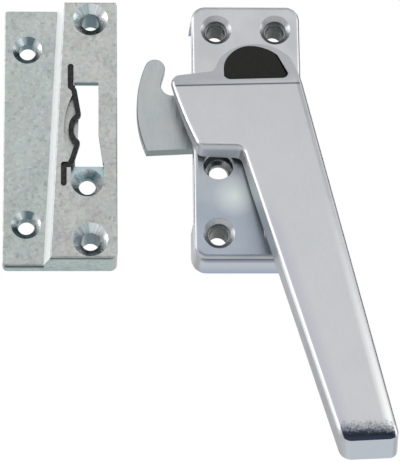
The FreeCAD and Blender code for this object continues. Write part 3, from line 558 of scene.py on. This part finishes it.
def cover_aluminium(low):
    """The plain finish with painted shade on the foot and the bottom wall, and a painted reflection.
    """
    made, tinted = satin_aluminium("satin_aluminium_cover", tone=0.60, streak=0.10, blotch=0.14)
    # Painted shade: bluer and darker towards the foot, on the front faces.
    bluer = made.tint(tinted, FOOT_PAINTED_SHADE)
    blue, plain = FOOT_SHARES
    foot = made.across(UP, low.z * blue, low.z * plain, 1.0, 0.0)
    tinted = made.mix(made.times(foot, made.front()), tinted, bluer)
    # Painted shade: a dark line on the bottom wall just behind the front.
    tinted = made.mix(made.bottom_line(low.y, FOOT_EDGE), tinted, FOOT_LINE_PAINTED_SHADE)
    # Painted shade: the bottom wall turns bluer and darker towards the back.
    to_back = made.across(BACK, low.y / 2, 0.0, 0.0, 1.0)
    tinted = made.mix(made.times(to_back, made.bottom()), tinted, bluer)
    # Painted reflection: one pale patch round a spot.
    patch = made.spot((PATCH_X, low.y, PATCH_Z), PATCH_RADIUS)
    made.colour(made.mix(patch, tinted, PATCH_PAINTED_REFLECTION))
    return made.material


cover_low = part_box("base_cover")[0]
cover_finish = cover_aluminium(cover_low)
print(f"{cover_finish.name}: foot at {cover_low.z / MM:.2f} mm")

# %% [markdown]
# Zinc plate on pressed steel keeps the rolling marks of the sheet under a bright, slightly blue
# passivation. The hook's faces show long shallow streaks, and a coarser cloud shifts the blue to
# grey. The sides get a painted shade, darker and greener than the faces. Inside the screw posts the
# plate is darker and greener still, because little light gets there.

# %% Zinc plated steel
HOLE_SHADE = (0.055, 0.075, 0.066)
SIDE_PAINTED_SHADE = (0.62, 0.70, 0.69)
ROLLING_TURN = math.radians(20)


def zinc_plate(name, tone, roughness, holes=False):
    made = Shader(name, metallic=1.0, roughness=roughness)
    rolling = made.noise(1.1, 5.0, made.stretched((1.0, 1.0, 0.18), (0.0, ROLLING_TURN, 0.0)))
    clouds = made.noise(0.25, 3.0)
    spots = made.noise(4.0, 2.0)
    base = made.ramp(clouds, [(0.35, (tone * 0.88, tone, tone * 1.02)),
                              (0.65, (tone, tone * 1.06, tone * 1.05))])
    rolled = made.mix(0.35, base, made.ramp(rolling, [(0.35, grey(tone * 0.78, 0.03)),
                                                      (0.65, grey(tone * 1.15, 0.0))]))
    # Painted shade: faces turned to the side are darker and greener.
    rolled = made.tint(rolled, made.facing(BACK, [(0.1, SIDE_PAINTED_SHADE), (0.7, WHITE)]))
    if holes:
        rolled = made.mix(made.stored("hole"), rolled, HOLE_SHADE)
    made.colour(rolled)
    made.rough(made.span(rolling, roughness * 0.75, roughness * 1.35))
    made.bump(made.add(rolling, spots, 0.35), 0.012 * MM)
    return made.material


hook_finish = zinc_plate("zinc_plate_hook", 0.49, 0.33)
plate_finish = zinc_plate("zinc_plate_base", 0.34, 0.30, holes=True)
spindle_finish = zinc_plate("zinc_plate_spindle", 0.42, 0.28)
print("zinc plate:", hook_finish.name, plate_finish.name, spindle_finish.name)

# %% [markdown]
# A zinc casting that is plated without polishing shows crystals: small patches that each tip the
# light another way. Two sizes of Voronoi cells, turned into bump as well as tone, give that
# sparkle, and a low cloud brings the greenish bloom of the passivation, which is stronger left of
# the keeper's step.

# %% Cast zinc
STEP_X = -50.0 * MM
STEP_BLEND = 1.0 * MM
FLANGE_BLOOM = (0.93, 1.0, 0.98)
BLOCK_BLOOM = (0.975, 1.0, 0.98)


def cast_zinc(name, tone, sparkle):
    """The shader of the plain casting, its colour and its roughness for a piece to add to."""
    made = Shader(name, metallic=1.0, roughness=0.36)
    crystals = made.cells(1.3)
    fine = made.cells(3.4)
    clouds = made.noise(0.16, 4.0, roughness=0.6)
    grain = made.noise(2.4, 4.0)
    base = made.ramp(clouds, [(0.35, (tone * 0.86, tone * 0.95, tone * 0.94)),
                              (0.5, (tone * 0.97, tone * 1.04, tone * 1.01)),
                              (0.68, (tone * 1.08, tone * 1.12, tone * 1.08))])
    greyed = made.node("HueSaturation", Saturation=0.2,
                       Color=made.mix(sparkle, base, crystals, "OVERLAY"))
    cast = made.mix(0.25, greyed.outputs["Color"], made.ramp(grain, [(0.35, grey(tone * 0.7)),
                                                                    (0.65, grey(tone * 1.25))]))
    bloom = made.ramp(made.across(RIGHT, STEP_X - STEP_BLEND, STEP_X + STEP_BLEND, 0.0, 1.0),
                      [(0.0, FLANGE_BLOOM), (1.0, BLOCK_BLOOM)])
    made.bump(made.add(made.add(grain, crystals, 0.7), fine, 0.5), 0.014 * MM)
    return made, made.tint(cast, bloom), made.span(grain, 0.26, 0.46)


ring, ring_colour, ring_rough = cast_zinc("cast_zinc_ring", 0.5, 0.2)
ring.colour(ring_colour)
ring.rough(ring_rough)
ring_finish = ring.material
print("cast zinc:", ring_finish.name)

# %% [markdown]
# The keeper adds what was done to the casting, and painted light. The countersinks are cut and
# smooth, with a painted reflection: bluish, streaked outwards and white at the right, and the bores
# get a painted shade. The wall of the step gets a pale painted highlight and a rougher finish. The
# bottom walls get a painted light, paler and greener, with a painted dark line just behind each of
# the two fronts. The marks on the mesh tell the material where the holes and the step wall are.

# %% The keeper's finish
KEEPER_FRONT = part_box("keeper_body")[0].y
FLANGE_FRONT = -4.7 * MM
BOTTOM_STEP_X = -52.4 * MM
# Painted light and painted shade on the keeper's bottom walls.
BOTTOM_PAINTED_LIGHT = (1.1, 1.27, 1.24)
BOTTOM_LINE_PAINTED_SHADE = (0.075, 0.085, 0.088)
BLOCK_EDGE = (0.5 * MM, 2.1 * MM)
FLANGE_EDGE = (1.4 * MM, 2.7 * MM)
# Painted highlight on the step wall and the countersinks, and the step wall's rougher finish.
PAINTED_HIGHLIGHT_TONE = (0.98, 1.0, 1.0)
STEP_WALL_ROUGH = grey(0.8)
CUT_ROUGH = grey(0.22)
REFLECTION_STREAKS_PER_TURN = 1.3


def painted_hole_walls(made):
    """The colour inside a hole: a painted, streaked reflection on the countersink, a painted shade in
    the bore.
    """
    way = made.stored("spoke", "Vector")
    streaks = made.noise(REFLECTION_STREAKS_PER_TURN / PER_MM, 3.0, way)
    # Painted reflection on the countersink: dark and pale streaks, painted white at its right side.
    cone = made.ramp(streaks, [(0.34, (0.14, 0.20, 0.22)), (0.5, (0.55, 0.65, 0.67)), (0.6, WHITE)])
    cone = made.mix(made.span(made.along(RIGHT, way), 0.0, 1.0, 0.55, 0.9), cone, PAINTED_HIGHLIGHT_TONE)
    # Painted shade in the bores and on the walls of the window.
    bore = made.facing(BACK, [(0.3, (0.13, 0.22, 0.24)), (0.9, (0.42, 0.55, 0.58))])
    sloped = made.facing(BACK, [(0.35, BLACK), (0.55, WHITE), (0.85, WHITE), (0.95, BLACK)])
    return made.mix(sloped, bore, cone)


def keeper_zinc():
    """The plain casting with painted light on its bottom walls, its step wall and its holes."""
    made, cast, roughness = cast_zinc("cast_zinc_keeper", 0.47, 0.27)
    # Painted light: the bottom walls paler and greener.
    cast = made.mix(made.bottom(), cast, made.tint(cast, BOTTOM_PAINTED_LIGHT))
    # Painted shade: a dark line on the bottom walls just behind each of the two fronts.
    cast = made.mix(made.bottom_line(KEEPER_FRONT, BLOCK_EDGE), cast, BOTTOM_LINE_PAINTED_SHADE)
    on_flange = made.across(RIGHT, BOTTOM_STEP_X - SEEN_DEPTH, BOTTOM_STEP_X, 1.0, 0.0)
    flange_line = made.times(made.bottom_line(FLANGE_FRONT, FLANGE_EDGE), on_flange)
    cast = made.mix(flange_line, cast, BOTTOM_LINE_PAINTED_SHADE)
    # Painted highlight on the step wall, painted reflection and shade in the holes.
    step_wall = made.stored("raw_wall")
    hole = made.stored("hole")
    made.colour(made.mix(hole, made.mix(step_wall, cast, PAINTED_HIGHLIGHT_TONE), painted_hole_walls(made)))
    made.rough(made.mix(hole, made.mix(step_wall, roughness, STEP_WALL_ROUGH), CUT_ROUGH))
    return made.material


keeper_finish = keeper_zinc()
print("cast zinc:", keeper_finish.name)

# %% [markdown]
# The button is moulded in black plastic: nearly uniform, with the faint orange skin of the mould
# and a soft gloss. The leaf spring is blued steel, matt where the oxide is thick.

# %% Plastics and spring steel
def moulded(name, colour, roughness, gloss=0.5):
    made = Shader(name, metallic=0.0, roughness=roughness)
    made.feed(made.shader["Specular IOR Level"], gloss)
    skin_noise = made.noise(1.6, 3.0)
    dust = made.noise(7.0, 2.0)
    lighter = tuple(part * 1.25 for part in colour)
    made.colour(made.ramp(skin_noise, [(0.3, colour), (0.75, lighter)]))
    made.rough(made.span(dust, roughness * 0.85, roughness * 1.2))
    made.bump(made.add(skin_noise, dust, 0.3), 0.004 * MM)
    return made.material


def blued_steel(name):
    made = Shader(name, metallic=0.6, roughness=0.42)
    oxide = made.noise(1.2, 4.0)
    made.colour(made.ramp(oxide, [(0.35, (0.016, 0.017, 0.02)), (0.6, (0.035, 0.036, 0.04)),
                                  (0.8, (0.06, 0.062, 0.064))]))
    made.rough(made.span(oxide, 0.5, 0.32))
    made.bump(oxide, 0.01 * MM)
    return made.material


button_finish = moulded("black_plastic_button", (0.014, 0.0142, 0.0125), 0.26, 0.17)
bush_finish = moulded("pale_plastic_bush", (0.62, 0.61, 0.57), 0.45)
leaf_finish = blued_steel("blued_spring_steel")
coil_finish = zinc_plate("bright_spring_steel", 0.4, 0.25)
print("other finishes:", button_finish.name, bush_finish.name, leaf_finish.name, coil_finish.name)

# %% [markdown]
# The grip has two round corners and the keeper four. Their walls are found on the mesh as the
# largest faces that look to one side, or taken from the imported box, and the cutter does the rest.

# %% Round corners of the castings
GRIP_CORNERS = (3.0 * MM, 2.0 * MM)
KEEPER_CORNERS = {(-1, 1): 0.8 * MM, (-1, -1): 1.3 * MM, (1, 1): 0.9 * MM, (1, -1): 1.8 * MM}
TURNED = 0.8


def largest_towards(piece, way):
    """The middle and the normal of the largest face that looks in a direction."""
    face = max((face for face in piece.data.polygons if face.normal.dot(way) > TURNED),
               key=lambda face: face.area)
    return face.center.copy(), face.normal.copy()


def round_grip_end(piece):
    """Round the two corners of the grip's end face, left and right."""
    middle, end_side = largest_towards(piece, -Vector(UP))
    flanks = [largest_towards(piece, way) for way in (-Vector(RIGHT), Vector(RIGHT))]
    for (flank_spot, flank_side), radius in zip(flanks, GRIP_CORNERS):
        spot, along = intersect_plane_plane(middle, end_side, flank_spot, flank_side)
        nearest = spot + along * (middle - spot).dot(along) / along.length_squared
        round_corner(piece, nearest, end_side, flank_side, radius)


def round_keeper_corners(piece):
    """Round the four corners of the keeper, each named by its way to the right and up."""
    low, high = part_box("keeper_body")
    for (right, up), radius in KEEPER_CORNERS.items():
        point = Vector((high.x if right > 0 else low.x, (low.y + high.y) / 2,
                        high.z if up > 0 else low.z))
        round_corner(piece, point, Vector((right, 0, 0)), Vector((0, 0, up)), radius)


# %% [markdown]
# The keeper's material needs two more marks: one on the wall of the step, for its painted
# highlight, and the mark of the holes on the walls of the window, for their painted shade. The
# bores of the two block screws are short in the imported model and open into a wide relief, but the
# real ones go on to the back, so a thin sleeve carries each of them on.

# %% Marks and sleeves of the keeper
WALL_INSET = 1.0 * MM
WALL_TURNED = 0.85
UPRIGHT = 0.3
WINDOW_X = (-46.4 * MM, -36.0 * MM)
WINDOW_Z = (-16.5 * MM, 6.5 * MM)
BLOCK_BORE = 2.28 * MM
RELIEF_ROOF = -5.56 * MM
SLEEVE_WALL = 0.5 * MM
SLEEVE_STEPS = 48


def mark_step_wall(piece):
    """Mark the wall of the step, which gets a painted highlight and a rougher finish."""
    low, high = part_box("keeper_body")
    mark = piece.data.attributes.new("raw_wall", "FLOAT", "FACE")
    for face in piece.data.polygons:
        inside = low.x + WALL_INSET < face.center.x < (low.x + high.x) / 2
        if inside and face.normal.x < -WALL_TURNED and face.area > LARGE_FACE:
            mark.data[face.index].value = 1.0
            print(f"highlighted step wall of {face.area / MM / MM:.0f} square mm")


def mark_window(piece):
    """Let the walls of the keeper's window count as the walls of a hole."""
    mark = piece.data.attributes["hole"]
    for face in piece.data.polygons:
        spot = face.center
        inside = WINDOW_X[0] < spot.x < WINDOW_X[1] and WINDOW_Z[0] < spot.z < WINDOW_Z[1]
        if inside and abs(face.normal.y) < UPRIGHT and spot.y < -BACK_SKIN:
            mark.data[face.index].value = 1.0


def line_bores(piece, axes):
    """Carry the bore of each hole on to the back with a thin sleeve."""
    work = bmesh.new()
    work.from_mesh(piece.data)
    turns = [2 * math.pi * step / SLEEVE_STEPS for step in range(SLEEVE_STEPS)]
    outer = BLOCK_BORE + SLEEVE_WALL
    for x, z in axes:
        rings = [[work.verts.new((x + reach * math.cos(turn), y, z + reach * math.sin(turn)))
                  for turn in turns]
                 for reach, y in ((BLOCK_BORE, RELIEF_ROOF), (BLOCK_BORE, -BACK_SKIN),
                                  (outer, -BACK_SKIN), (outer, RELIEF_ROOF))]
        sleeve = [work.faces.new((ring[step - 1], ring[step], following[step], following[step - 1]))
                  for ring, following in zip(rings, rings[1:] + rings[:1])
                  for step in range(SLEEVE_STEPS)]
        bmesh.ops.recalc_face_normals(work, faces=sleeve)
    work.to_mesh(piece.data)
    work.free()
    shade_by_edges(piece.data)


# %% [markdown]
# Most pieces are already right in form, and only need their edges taken off and their finish. The
# width of an edge is a true size: a casting has about a quarter millimetre, a stamping a tenth.
# The castings' round corners are cut first, because a bevel then runs round them.

# %% Metal and plastic pieces
CAST_EDGE = 0.22 * MM
STAMPED_EDGE = 0.12 * MM
MOULDED_EDGE = 0.15 * MM
FINE_EDGE = 0.06 * MM
SINK_REACH = 4.4 * MM
POST_REACH = 2.6 * MM
KEEPER_HOLES = {"keeper_block_screws": KEEPER_FRONT, "keeper_flange_screws": FLANGE_FRONT,
                "keeper_middle_screw": KEEPER_FRONT}
DRESSING = [
    ("lever", "lever_blade", lever_finish, "satin_aluminium", CAST_EDGE),
    ("base_cover", "cover_shell", cover_finish, "satin_aluminium", FINE_EDGE),
    ("base_plate", "screw_plate", plate_finish, "zinc_steel", STAMPED_EDGE),
    ("hook", "hook_plate", hook_finish, "zinc_steel", STAMPED_EDGE),
    ("spindle", "spindle_bar", spindle_finish, "zinc_steel", STAMPED_EDGE),
    ("spindle_bush", "bush_sleeve", bush_finish, "bush_plastic", MOULDED_EDGE),
    ("lock_ring", "lock_gate_ring", ring_finish, "cast_zinc", STAMPED_EDGE),
    ("retaining_washer", "rivet_washer", spindle_finish, "zinc_steel", STAMPED_EDGE),
    ("release_button", "push_button", button_finish, "black_plastic", MOULDED_EDGE),
    ("lock_slide", "slide_frame", spindle_finish, "zinc_steel", FINE_EDGE),
    ("keeper_body", "keeper_casting", keeper_finish, "cast_zinc", CAST_EDGE),
]
for node, name, material, slot, edge in DRESSING:
    piece = lever_blade if node == "lever" else merged_copy(node, name)
    if node == "lever":
        round_grip_end(piece)
    if node == "keeper_body":
        round_keeper_corners(piece)
        line_bores(piece, hole_axes("keeper_block_screws"))
        mark_holes(piece, KEEPER_HOLES, SINK_REACH)
        mark_step_wall(piece)
        mark_window(piece)
    if node == "base_plate":
        mark_holes(piece, {"base_screws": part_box("base_plate")[0].y}, POST_REACH)
    finish_piece(soften(piece, edge), node, material, slot)

# %% [markdown]
# The springs and the wave washer follow rules, so Geometry Nodes make them. A small helper builds a
# tree with named inputs that ends in Realize Instances and Set Material, and another one runs it
# once and keeps the result as a plain mesh. An input is set by its socket's identifier.

# %% Helpers for Geometry Nodes
class Tree(Nodes):
    """A Geometry Nodes tree with named inputs."""

    def __init__(self, name):
        super().__init__(bpy.data.node_groups.new(name, "GeometryNodeTree"), "GeometryNode")
        for way in ("INPUT", "OUTPUT"):
            self.tree.interface.new_socket("Geometry", in_out=way, socket_type="NodeSocketGeometry")
        self.values = self.tree.nodes.new("NodeGroupInput").outputs
        self.result = self.tree.nodes.new("NodeGroupOutput").inputs

    def named(self, name, kind="Float"):
        """A new named input of the tree."""
        self.tree.interface.new_socket(name, in_out="INPUT", socket_type=f"NodeSocket{kind}")
        return self.values[name]

    def vector(self, x=0.0, y=0.0, z=0.0):
        return self.make("CombineXYZ", family="ShaderNode", X=x, Y=y, Z=z)

    def make(self, kind, settings=None, **inputs):
        """What a node makes: its first output."""
        return self.node(kind, settings, **inputs).outputs[0]

    def end(self, geometry):
        """Close the tree: instances made real, then the material."""
        real = self.make("RealizeInstances", Geometry=geometry)
        coated = self.make("SetMaterial", Geometry=real, Material=self.named("Material", "Material"))
        self.feed(self.result[0], coated)


def run_tree(recipe, name, data, **values):
    """Run a tree once on some data and keep what it makes as a plain mesh."""
    source = in_scene(name + " source", data)
    modifier = source.modifiers.new("tree", "NODES")
    modifier.node_group = recipe.tree
    for item in recipe.tree.interface.items_tree:
        key = item.name.replace(" ", "_").lower()
        if item.in_out == "INPUT" and key in values:
            modifier[item.identifier] = values[key]
    mesh = evaluated_mesh(source)
    mesh.name = name
    bpy.data.objects.remove(source)
    print(f"{name}: {len(mesh.polygons)} faces from its tree")
    shade_by_edges(mesh)
    return in_scene(name, mesh)


# %% [markdown]
# The leaf spring is a strip of steel bent on edge: a narrow band that follows a line. The line has
# a corner wherever the strip is bent, and the radius of each bend is stored as the point's own
# radius, so one Fillet Curve node makes the tight bends and the wide detent alike. A flat band
# is swept along it, narrowed in a half circle at both ends, and thickened towards the wall.

# %% The tree of the leaf spring
BEND_STEPS = 12
END_WIDTH = 0.05


def strip_tree():
    tree = Tree("strip on a line")
    half_width, thickness, spacing = map(tree.named, ("Half Width", "Thickness", "Point Spacing"))
    bent = tree.make("FilletCurve", {"mode": "POLY"}, Curve=tree.values["Geometry"],
                     Radius=tree.make("InputRadius"), Limit_Radius=True, Count=BEND_STEPS)
    even = tree.make("ResampleCurve", {"mode": "LENGTH"}, Curve=bent, Length=spacing)
    plain = tree.make("SetCurveRadius", Curve=even, Radius=1.0)
    level = tree.make("SetCurveNormal", {"mode": "FREE"}, Curve=plain, Normal=BACK)
    run = tree.node("SplineParameter").outputs["Length"]
    whole = tree.node("SplineLength").outputs["Length"]
    to_end = tree.maths("MINIMUM", run, tree.maths("SUBTRACT", whole, run))
    in_round = tree.maths("MINIMUM", tree.maths("DIVIDE", to_end, half_width), 1.0)
    share = tree.maths("SUBTRACT", 1.0, in_round)
    narrow = tree.maths("SQRT", tree.maths("SUBTRACT", 1.0, tree.maths("MULTIPLY", share, share)))
    section = tree.make("CurvePrimitiveLine", End=tree.vector(y=half_width),
                        Start=tree.vector(y=tree.maths("MULTIPLY", half_width, -1.0)))
    band = tree.make("CurveToMesh", Curve=level, Profile_Curve=section,
                     Scale=tree.maths("MAXIMUM", narrow, END_WIDTH))
    raised = tree.make("ExtrudeMesh", {"mode": "FACES"}, Mesh=band, Individual=False,
                       Offset=tree.vector(y=thickness))
    both = tree.node("JoinGeometry")
    for part in (raised, tree.make("FlipFaces", Mesh=band)):
        tree.feed(both.inputs[0], part)
    tree.end(tree.make("MergeByDistance", Geometry=both.outputs[0], Distance=MERGE_DISTANCE))
    return tree


# %% [markdown]
# The line's points are sizes of the real strip, given from its top end down. The detent is a
# shallow arc between two crests, drawn here as the two corners of the tangents that enclose it.

# %% The keeper's leaf spring
LEAF_HALF_WIDTH = 0.625 * MM
LEAF_BEND = 0.72 * MM
LEAF_SPACING = 0.11 * MM
DETENT_RADIUS = 4.6 * MM
DETENT_BEND = 3.9 * MM
ABOVE_DETENT = [(-46.0, 9.6), (-46.0, 4.4), (-45.1, 3.5), (-44.0, -3.0)]
BELOW_DETENT = [(-44.2, -10.2), (-46.0, -16.1), (-47.6, -16.1), (-47.6, -20.9)]


def detent_corners(first, last, radius):
    """The two outer corners of the tangents to an arc that bulges to the left."""
    chord = last - first
    left = Vector((chord.z, 0, -chord.x)).normalized()
    half_arc = math.asin(chord.length / 2 / radius)
    run = radius * math.tan(half_arc / 2)
    down = chord.normalized()
    inward = down * math.cos(half_arc) + left * math.sin(half_arc)
    outward = down * math.cos(half_arc) - left * math.sin(half_arc)
    return first + inward * run, last - outward * run


above, below = [[Vector((x, 0, z)) * MM for x, z in spots] for spots in (ABOVE_DETENT, BELOW_DETENT)]
detent = detent_corners(above[-1], below[0], DETENT_RADIUS)
leaf_points = [*above, *detent, *below]
leaf_points[0].z += LEAF_HALF_WIDTH
leaf_points[-1].z -= LEAF_HALF_WIDTH
leaf_low, leaf_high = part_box("keeper_spring")
leaf_line = bpy.data.curves.new("leaf line", "CURVE")
leaf_line.dimensions = "3D"
spline = leaf_line.splines.new("POLY")
spline.points.add(len(leaf_points) - 1)
for point, spot in zip(spline.points, leaf_points):
    point.co = (spot.x, leaf_low.y, spot.z, 1.0)
    point.radius = DETENT_BEND if spot in detent else LEAF_BEND
leaf_strip = run_tree(strip_tree(), "leaf_strip", leaf_line, half_width=LEAF_HALF_WIDTH,
                      thickness=leaf_high.y - leaf_low.y, point_spacing=LEAF_SPACING,
                      material=leaf_finish)
finish_piece(soften(leaf_strip, FINE_EDGE, 2), "keeper_spring", leaf_finish, "black_spring_steel")

# %% [markdown]
# The two button springs are the same coil twice. The tree sweeps a round wire along a spiral and
# places it on two points. Their place and outer size come from the imported model.

# %% The button springs
WIRE_RADIUS = 0.125 * MM
WIRE_SIDES = 8
SPRING_TURNS = 4.0
STEPS_PER_TURN = 20


def coil_tree():
    tree = Tree("pair of coils")
    coil_radius, wire_radius = map(tree.named, ("Coil Radius", "Wire Radius"))
    turns, rise, spread = map(tree.named, ("Turns", "Height", "Spread"))
    spiral = tree.make("CurveSpiral", Resolution=STEPS_PER_TURN, Rotations=turns,
                       Start_Radius=coil_radius, End_Radius=coil_radius, Height=rise)
    wire = tree.make("CurvePrimitiveCircle", Resolution=WIRE_SIDES, Radius=wire_radius)
    coil = tree.make("CurveToMesh", Curve=spiral, Profile_Curve=wire, Fill_Caps=True)
    spots = tree.make("MeshLine", {"mode": "END_POINTS"}, Count=2,
                      Start_Location=tree.vector(x=tree.maths("MULTIPLY", spread, -0.5)),
                      Offset=tree.vector(x=tree.maths("MULTIPLY", spread, 0.5)))
    placed = tree.make("InstanceOnPoints", Points=spots, Instance=coil)
    tree.end(tree.make("Transform", Geometry=placed, Translation=tree.named("Place", "Vector")))
    return tree


spring_low, spring_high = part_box("button_springs")
spring_length = spring_high.z - spring_low.z
outer_radius = (spring_high.y - spring_low.y) / 2
spring_place = Vector(((spring_low.x + spring_high.x) / 2, (spring_low.y + spring_high.y) / 2,
                       spring_low.z + WIRE_RADIUS))
coils = run_tree(coil_tree(), "coil_pair", bpy.data.meshes.new("coil start"),
                 coil_radius=outer_radius - WIRE_RADIUS, wire_radius=WIRE_RADIUS, turns=SPRING_TURNS,
                 height=spring_length - 2 * WIRE_RADIUS,
                 spread=spring_high.x - spring_low.x - 2 * outer_radius, place=spring_place,
                 material=coil_finish)
finish_piece(coils, "button_springs", coil_finish, "spring_steel")
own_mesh(coils)

# %% [markdown]
# A wave washer is a flat ring pressed into a few waves. The tree bends a circle up and down by the
# sine of its angle and sweeps the flat section of the ring along it.

# %% The wave washer
WAVES = 3.0
RING_STEPS = 96
WASHER_STOCK = 0.18 * MM
WASHER_HOLE = 5.6 * MM


def washer_tree():
    tree = Tree("wave ring")
    middle_radius, width, stock = map(tree.named, ("Middle Radius", "Width", "Stock"))
    wave, waves = map(tree.named, ("Wave", "Waves"))
    circle = tree.make("CurvePrimitiveCircle", Resolution=RING_STEPS, Radius=middle_radius)
    share = tree.node("SplineParameter").outputs["Factor"]
    angle = tree.maths("MULTIPLY", tree.maths("MULTIPLY", share, waves), 2 * math.pi)
    lift = tree.vector(z=tree.maths("MULTIPLY", tree.maths("SINE", angle), wave))
    waved = tree.make("SetPosition", Geometry=circle, Offset=lift)
    level = tree.make("SetCurveNormal", {"mode": "Z_UP"}, Curve=waved)
    section = tree.make("CurvePrimitiveQuadrilateral", Width=width, Height=stock)
    ring = tree.make("CurveToMesh", Curve=level, Profile_Curve=section)
    tree.end(tree.make("Transform", Geometry=ring, Rotation=(math.pi / 2, 0.0, 0.0),
                       Translation=tree.named("Place", "Vector")))
    return tree


washer_low, washer_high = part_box("spring_washer")
washer_radius = (washer_high.x - washer_low.x) / 2
washer = run_tree(washer_tree(), "wave_washer", bpy.data.meshes.new("washer start"),
                  middle_radius=(washer_radius + WASHER_HOLE) / 2, width=washer_radius - WASHER_HOLE,
                  stock=WASHER_STOCK, wave=(washer_high.y - washer_low.y - WASHER_STOCK) / 2,
                  waves=WAVES, place=(washer_low + washer_high) / 2, material=coil_finish)
finish_piece(washer, "spring_washer", coil_finish, "spring_steel")

# %% [markdown]
# A product photo is taken in a bright tent, and a metal shows what stands round it. Lamps at the
# sides and behind draw the bright lines on the rounded edges, and cards that only mirror rays see
# give the metal something darker to show: a narrow strip low in front, two pale ones above, and
# two behind for the countersinks and the bores.

# %% Floor, cards and light
FLOOR_DROP = 0.30
FLOOR_SIZE = 9.0
FLOOR_TONE = (0.88, 0.885, 0.90)
CARDS = {
    "low_card": ((0.0, -0.985, -0.17), 0.95, (1.5, 0.24), 0.02),
    "ridge_card": ((0.0, -0.34, 0.94), 0.9, (1.3, 0.42), 0.80),
    "overhead_card": ((0.0, 0.33, 0.94), 0.9, (1.0, 0.34), 0.34),
    "right_back_card": ((0.78, 0.55, 0.30), 0.9, (0.5, 0.9), 0.05),
    "left_back_card": ((-0.12, 0.95, 0.27), 0.9, (0.5, 0.9), 0.55),
}
LAMPS = {
    "left_box": ((-0.93, -0.1, 0.3), 0.75, 0.45, 1.1),
    "left_back_box": ((-0.62, 0.7, 0.3), 0.8, 0.4, 0.45),
    "right_box": ((0.93, -0.2, 0.25), 0.75, 0.3, 0.5),
}


def plain_material(name, colour, roughness):
    made = Shader(name, metallic=0.0, roughness=roughness)
    mottle = made.noise(0.02, 2.0)
    made.colour(made.ramp(mottle, [(0.3, colour), (0.7, tuple(part * 0.98 for part in colour))]))
    return made.material


def stand(thing, place, facing):
    """Put a thing of the studio in its place, with its Z turned in a direction."""
    thing.location = place
    thing.rotation_mode = "QUATERNION"
    thing.rotation_quaternion = Vector(facing).to_track_quat("Z", "Y")


def stage_card(name, middle, width, height, facing, material):
    """A flat card that belongs to the studio."""
    mesh = bpy.data.meshes.new(name)
    across = Vector((width / 2, 0, 0))
    along = Vector((0, height / 2, 0))
    corners = [-across - along, across - along, across + along, -across + along]
    mesh.from_pydata(corners, [], [(0, 1, 2, 3)])
    mesh.materials.append(material)
    card = in_scene(name, mesh)
    stand(card, middle, facing)
    return card


centre = (cad_low + cad_high) / 2
stage_card("floor", (centre.x, centre.y, cad_low.z - FLOOR_DROP), FLOOR_SIZE, FLOOR_SIZE, UP,
           plain_material("pale_floor", FLOOR_TONE, 0.8))
for name, (direction, distance, (width, height), level) in CARDS.items():
    tone = plain_material(name, (level, level, level * 1.05), 0.9)
    toward = Vector(direction).normalized()
    card = stage_card(name, centre + toward * distance, width, height, -toward, tone)
    card.visible_camera = False
    card.visible_diffuse = False
    card.visible_shadow = False
for name, (direction, distance, size, watts) in LAMPS.items():
    lamp = bpy.data.lights.new(name, "AREA")
    lamp.shape = "SQUARE"
    lamp.size = size
    lamp.energy = watts
    holder = in_scene(name, lamp)
    toward = Vector(direction).normalized()
    stand(holder, centre + toward * distance, toward)
    holder.visible_camera = False
print("studio: floor,", ", ".join([*CARDS, *LAMPS]))

# %% [markdown]
# Camera and mirror rays see a clean white world. All other rays get a slightly dimmer, even light,
# so that a colour renders about as it is written.

# %% World
WHITE_LEVEL = 1.0
SOFT_LEVEL = 0.72
world = bpy.data.worlds.new("white_tent")
bpy.context.scene.world = world
world.use_nodes = True
sky = Nodes(world.node_tree, "ShaderNode")
ray = sky.node("LightPath").outputs
seen = sky.maths("MAXIMUM", ray["Is Camera Ray"], ray["Is Glossy Ray"])
seen = sky.maths("MAXIMUM", seen, ray["Is Transmission Ray"])
strength = sky.node("MapRange", Value=seen, To_Min=SOFT_LEVEL, To_Max=WHITE_LEVEL)
background = world.node_tree.nodes["Background"].inputs
sky.feed(background["Color"], WHITE)
sky.feed(background["Strength"], strength.outputs["Result"])
bpy.context.scene.view_settings.view_transform = "Standard"
print(f"world: {WHITE_LEVEL} as it is seen, {SOFT_LEVEL} as light")

# %% [markdown]
# The camera stands low and far off with a long lens, looking up at the latch. Its place and turns
# were worked out from the straight edges of the base, so that the picture lines up.

# %% Camera
CAMERA_SPOT = Vector((-41.39, -605.37, -226.05)) * MM
YAW = math.radians(2.595)
PITCH = math.radians(17.956)
ROLL_TURN = math.radians(-0.785)
SENSOR_WIDTH = 36.0
FOCAL_PIXELS = 2570.8
IMAGE_WIDTH = 400
lens = bpy.data.cameras.new("camera")
lens.sensor_fit = "HORIZONTAL"
lens.sensor_width = SENSOR_WIDTH
lens.lens = FOCAL_PIXELS / IMAGE_WIDTH * SENSOR_WIDTH
camera = in_scene("camera", lens)
camera.matrix_world = (Matrix.Translation(CAMERA_SPOT) @ Matrix.Rotation(-YAW, 4, "Z")
                       @ Matrix.Rotation(math.pi / 2 + PITCH, 4, "X")
                       @ Matrix.Rotation(ROLL_TURN, 4, "Z"))
bpy.context.scene.camera = camera
print(f"lens {lens.lens:.1f} mm at {[round(value, 3) for value in CAMERA_SPOT]}")
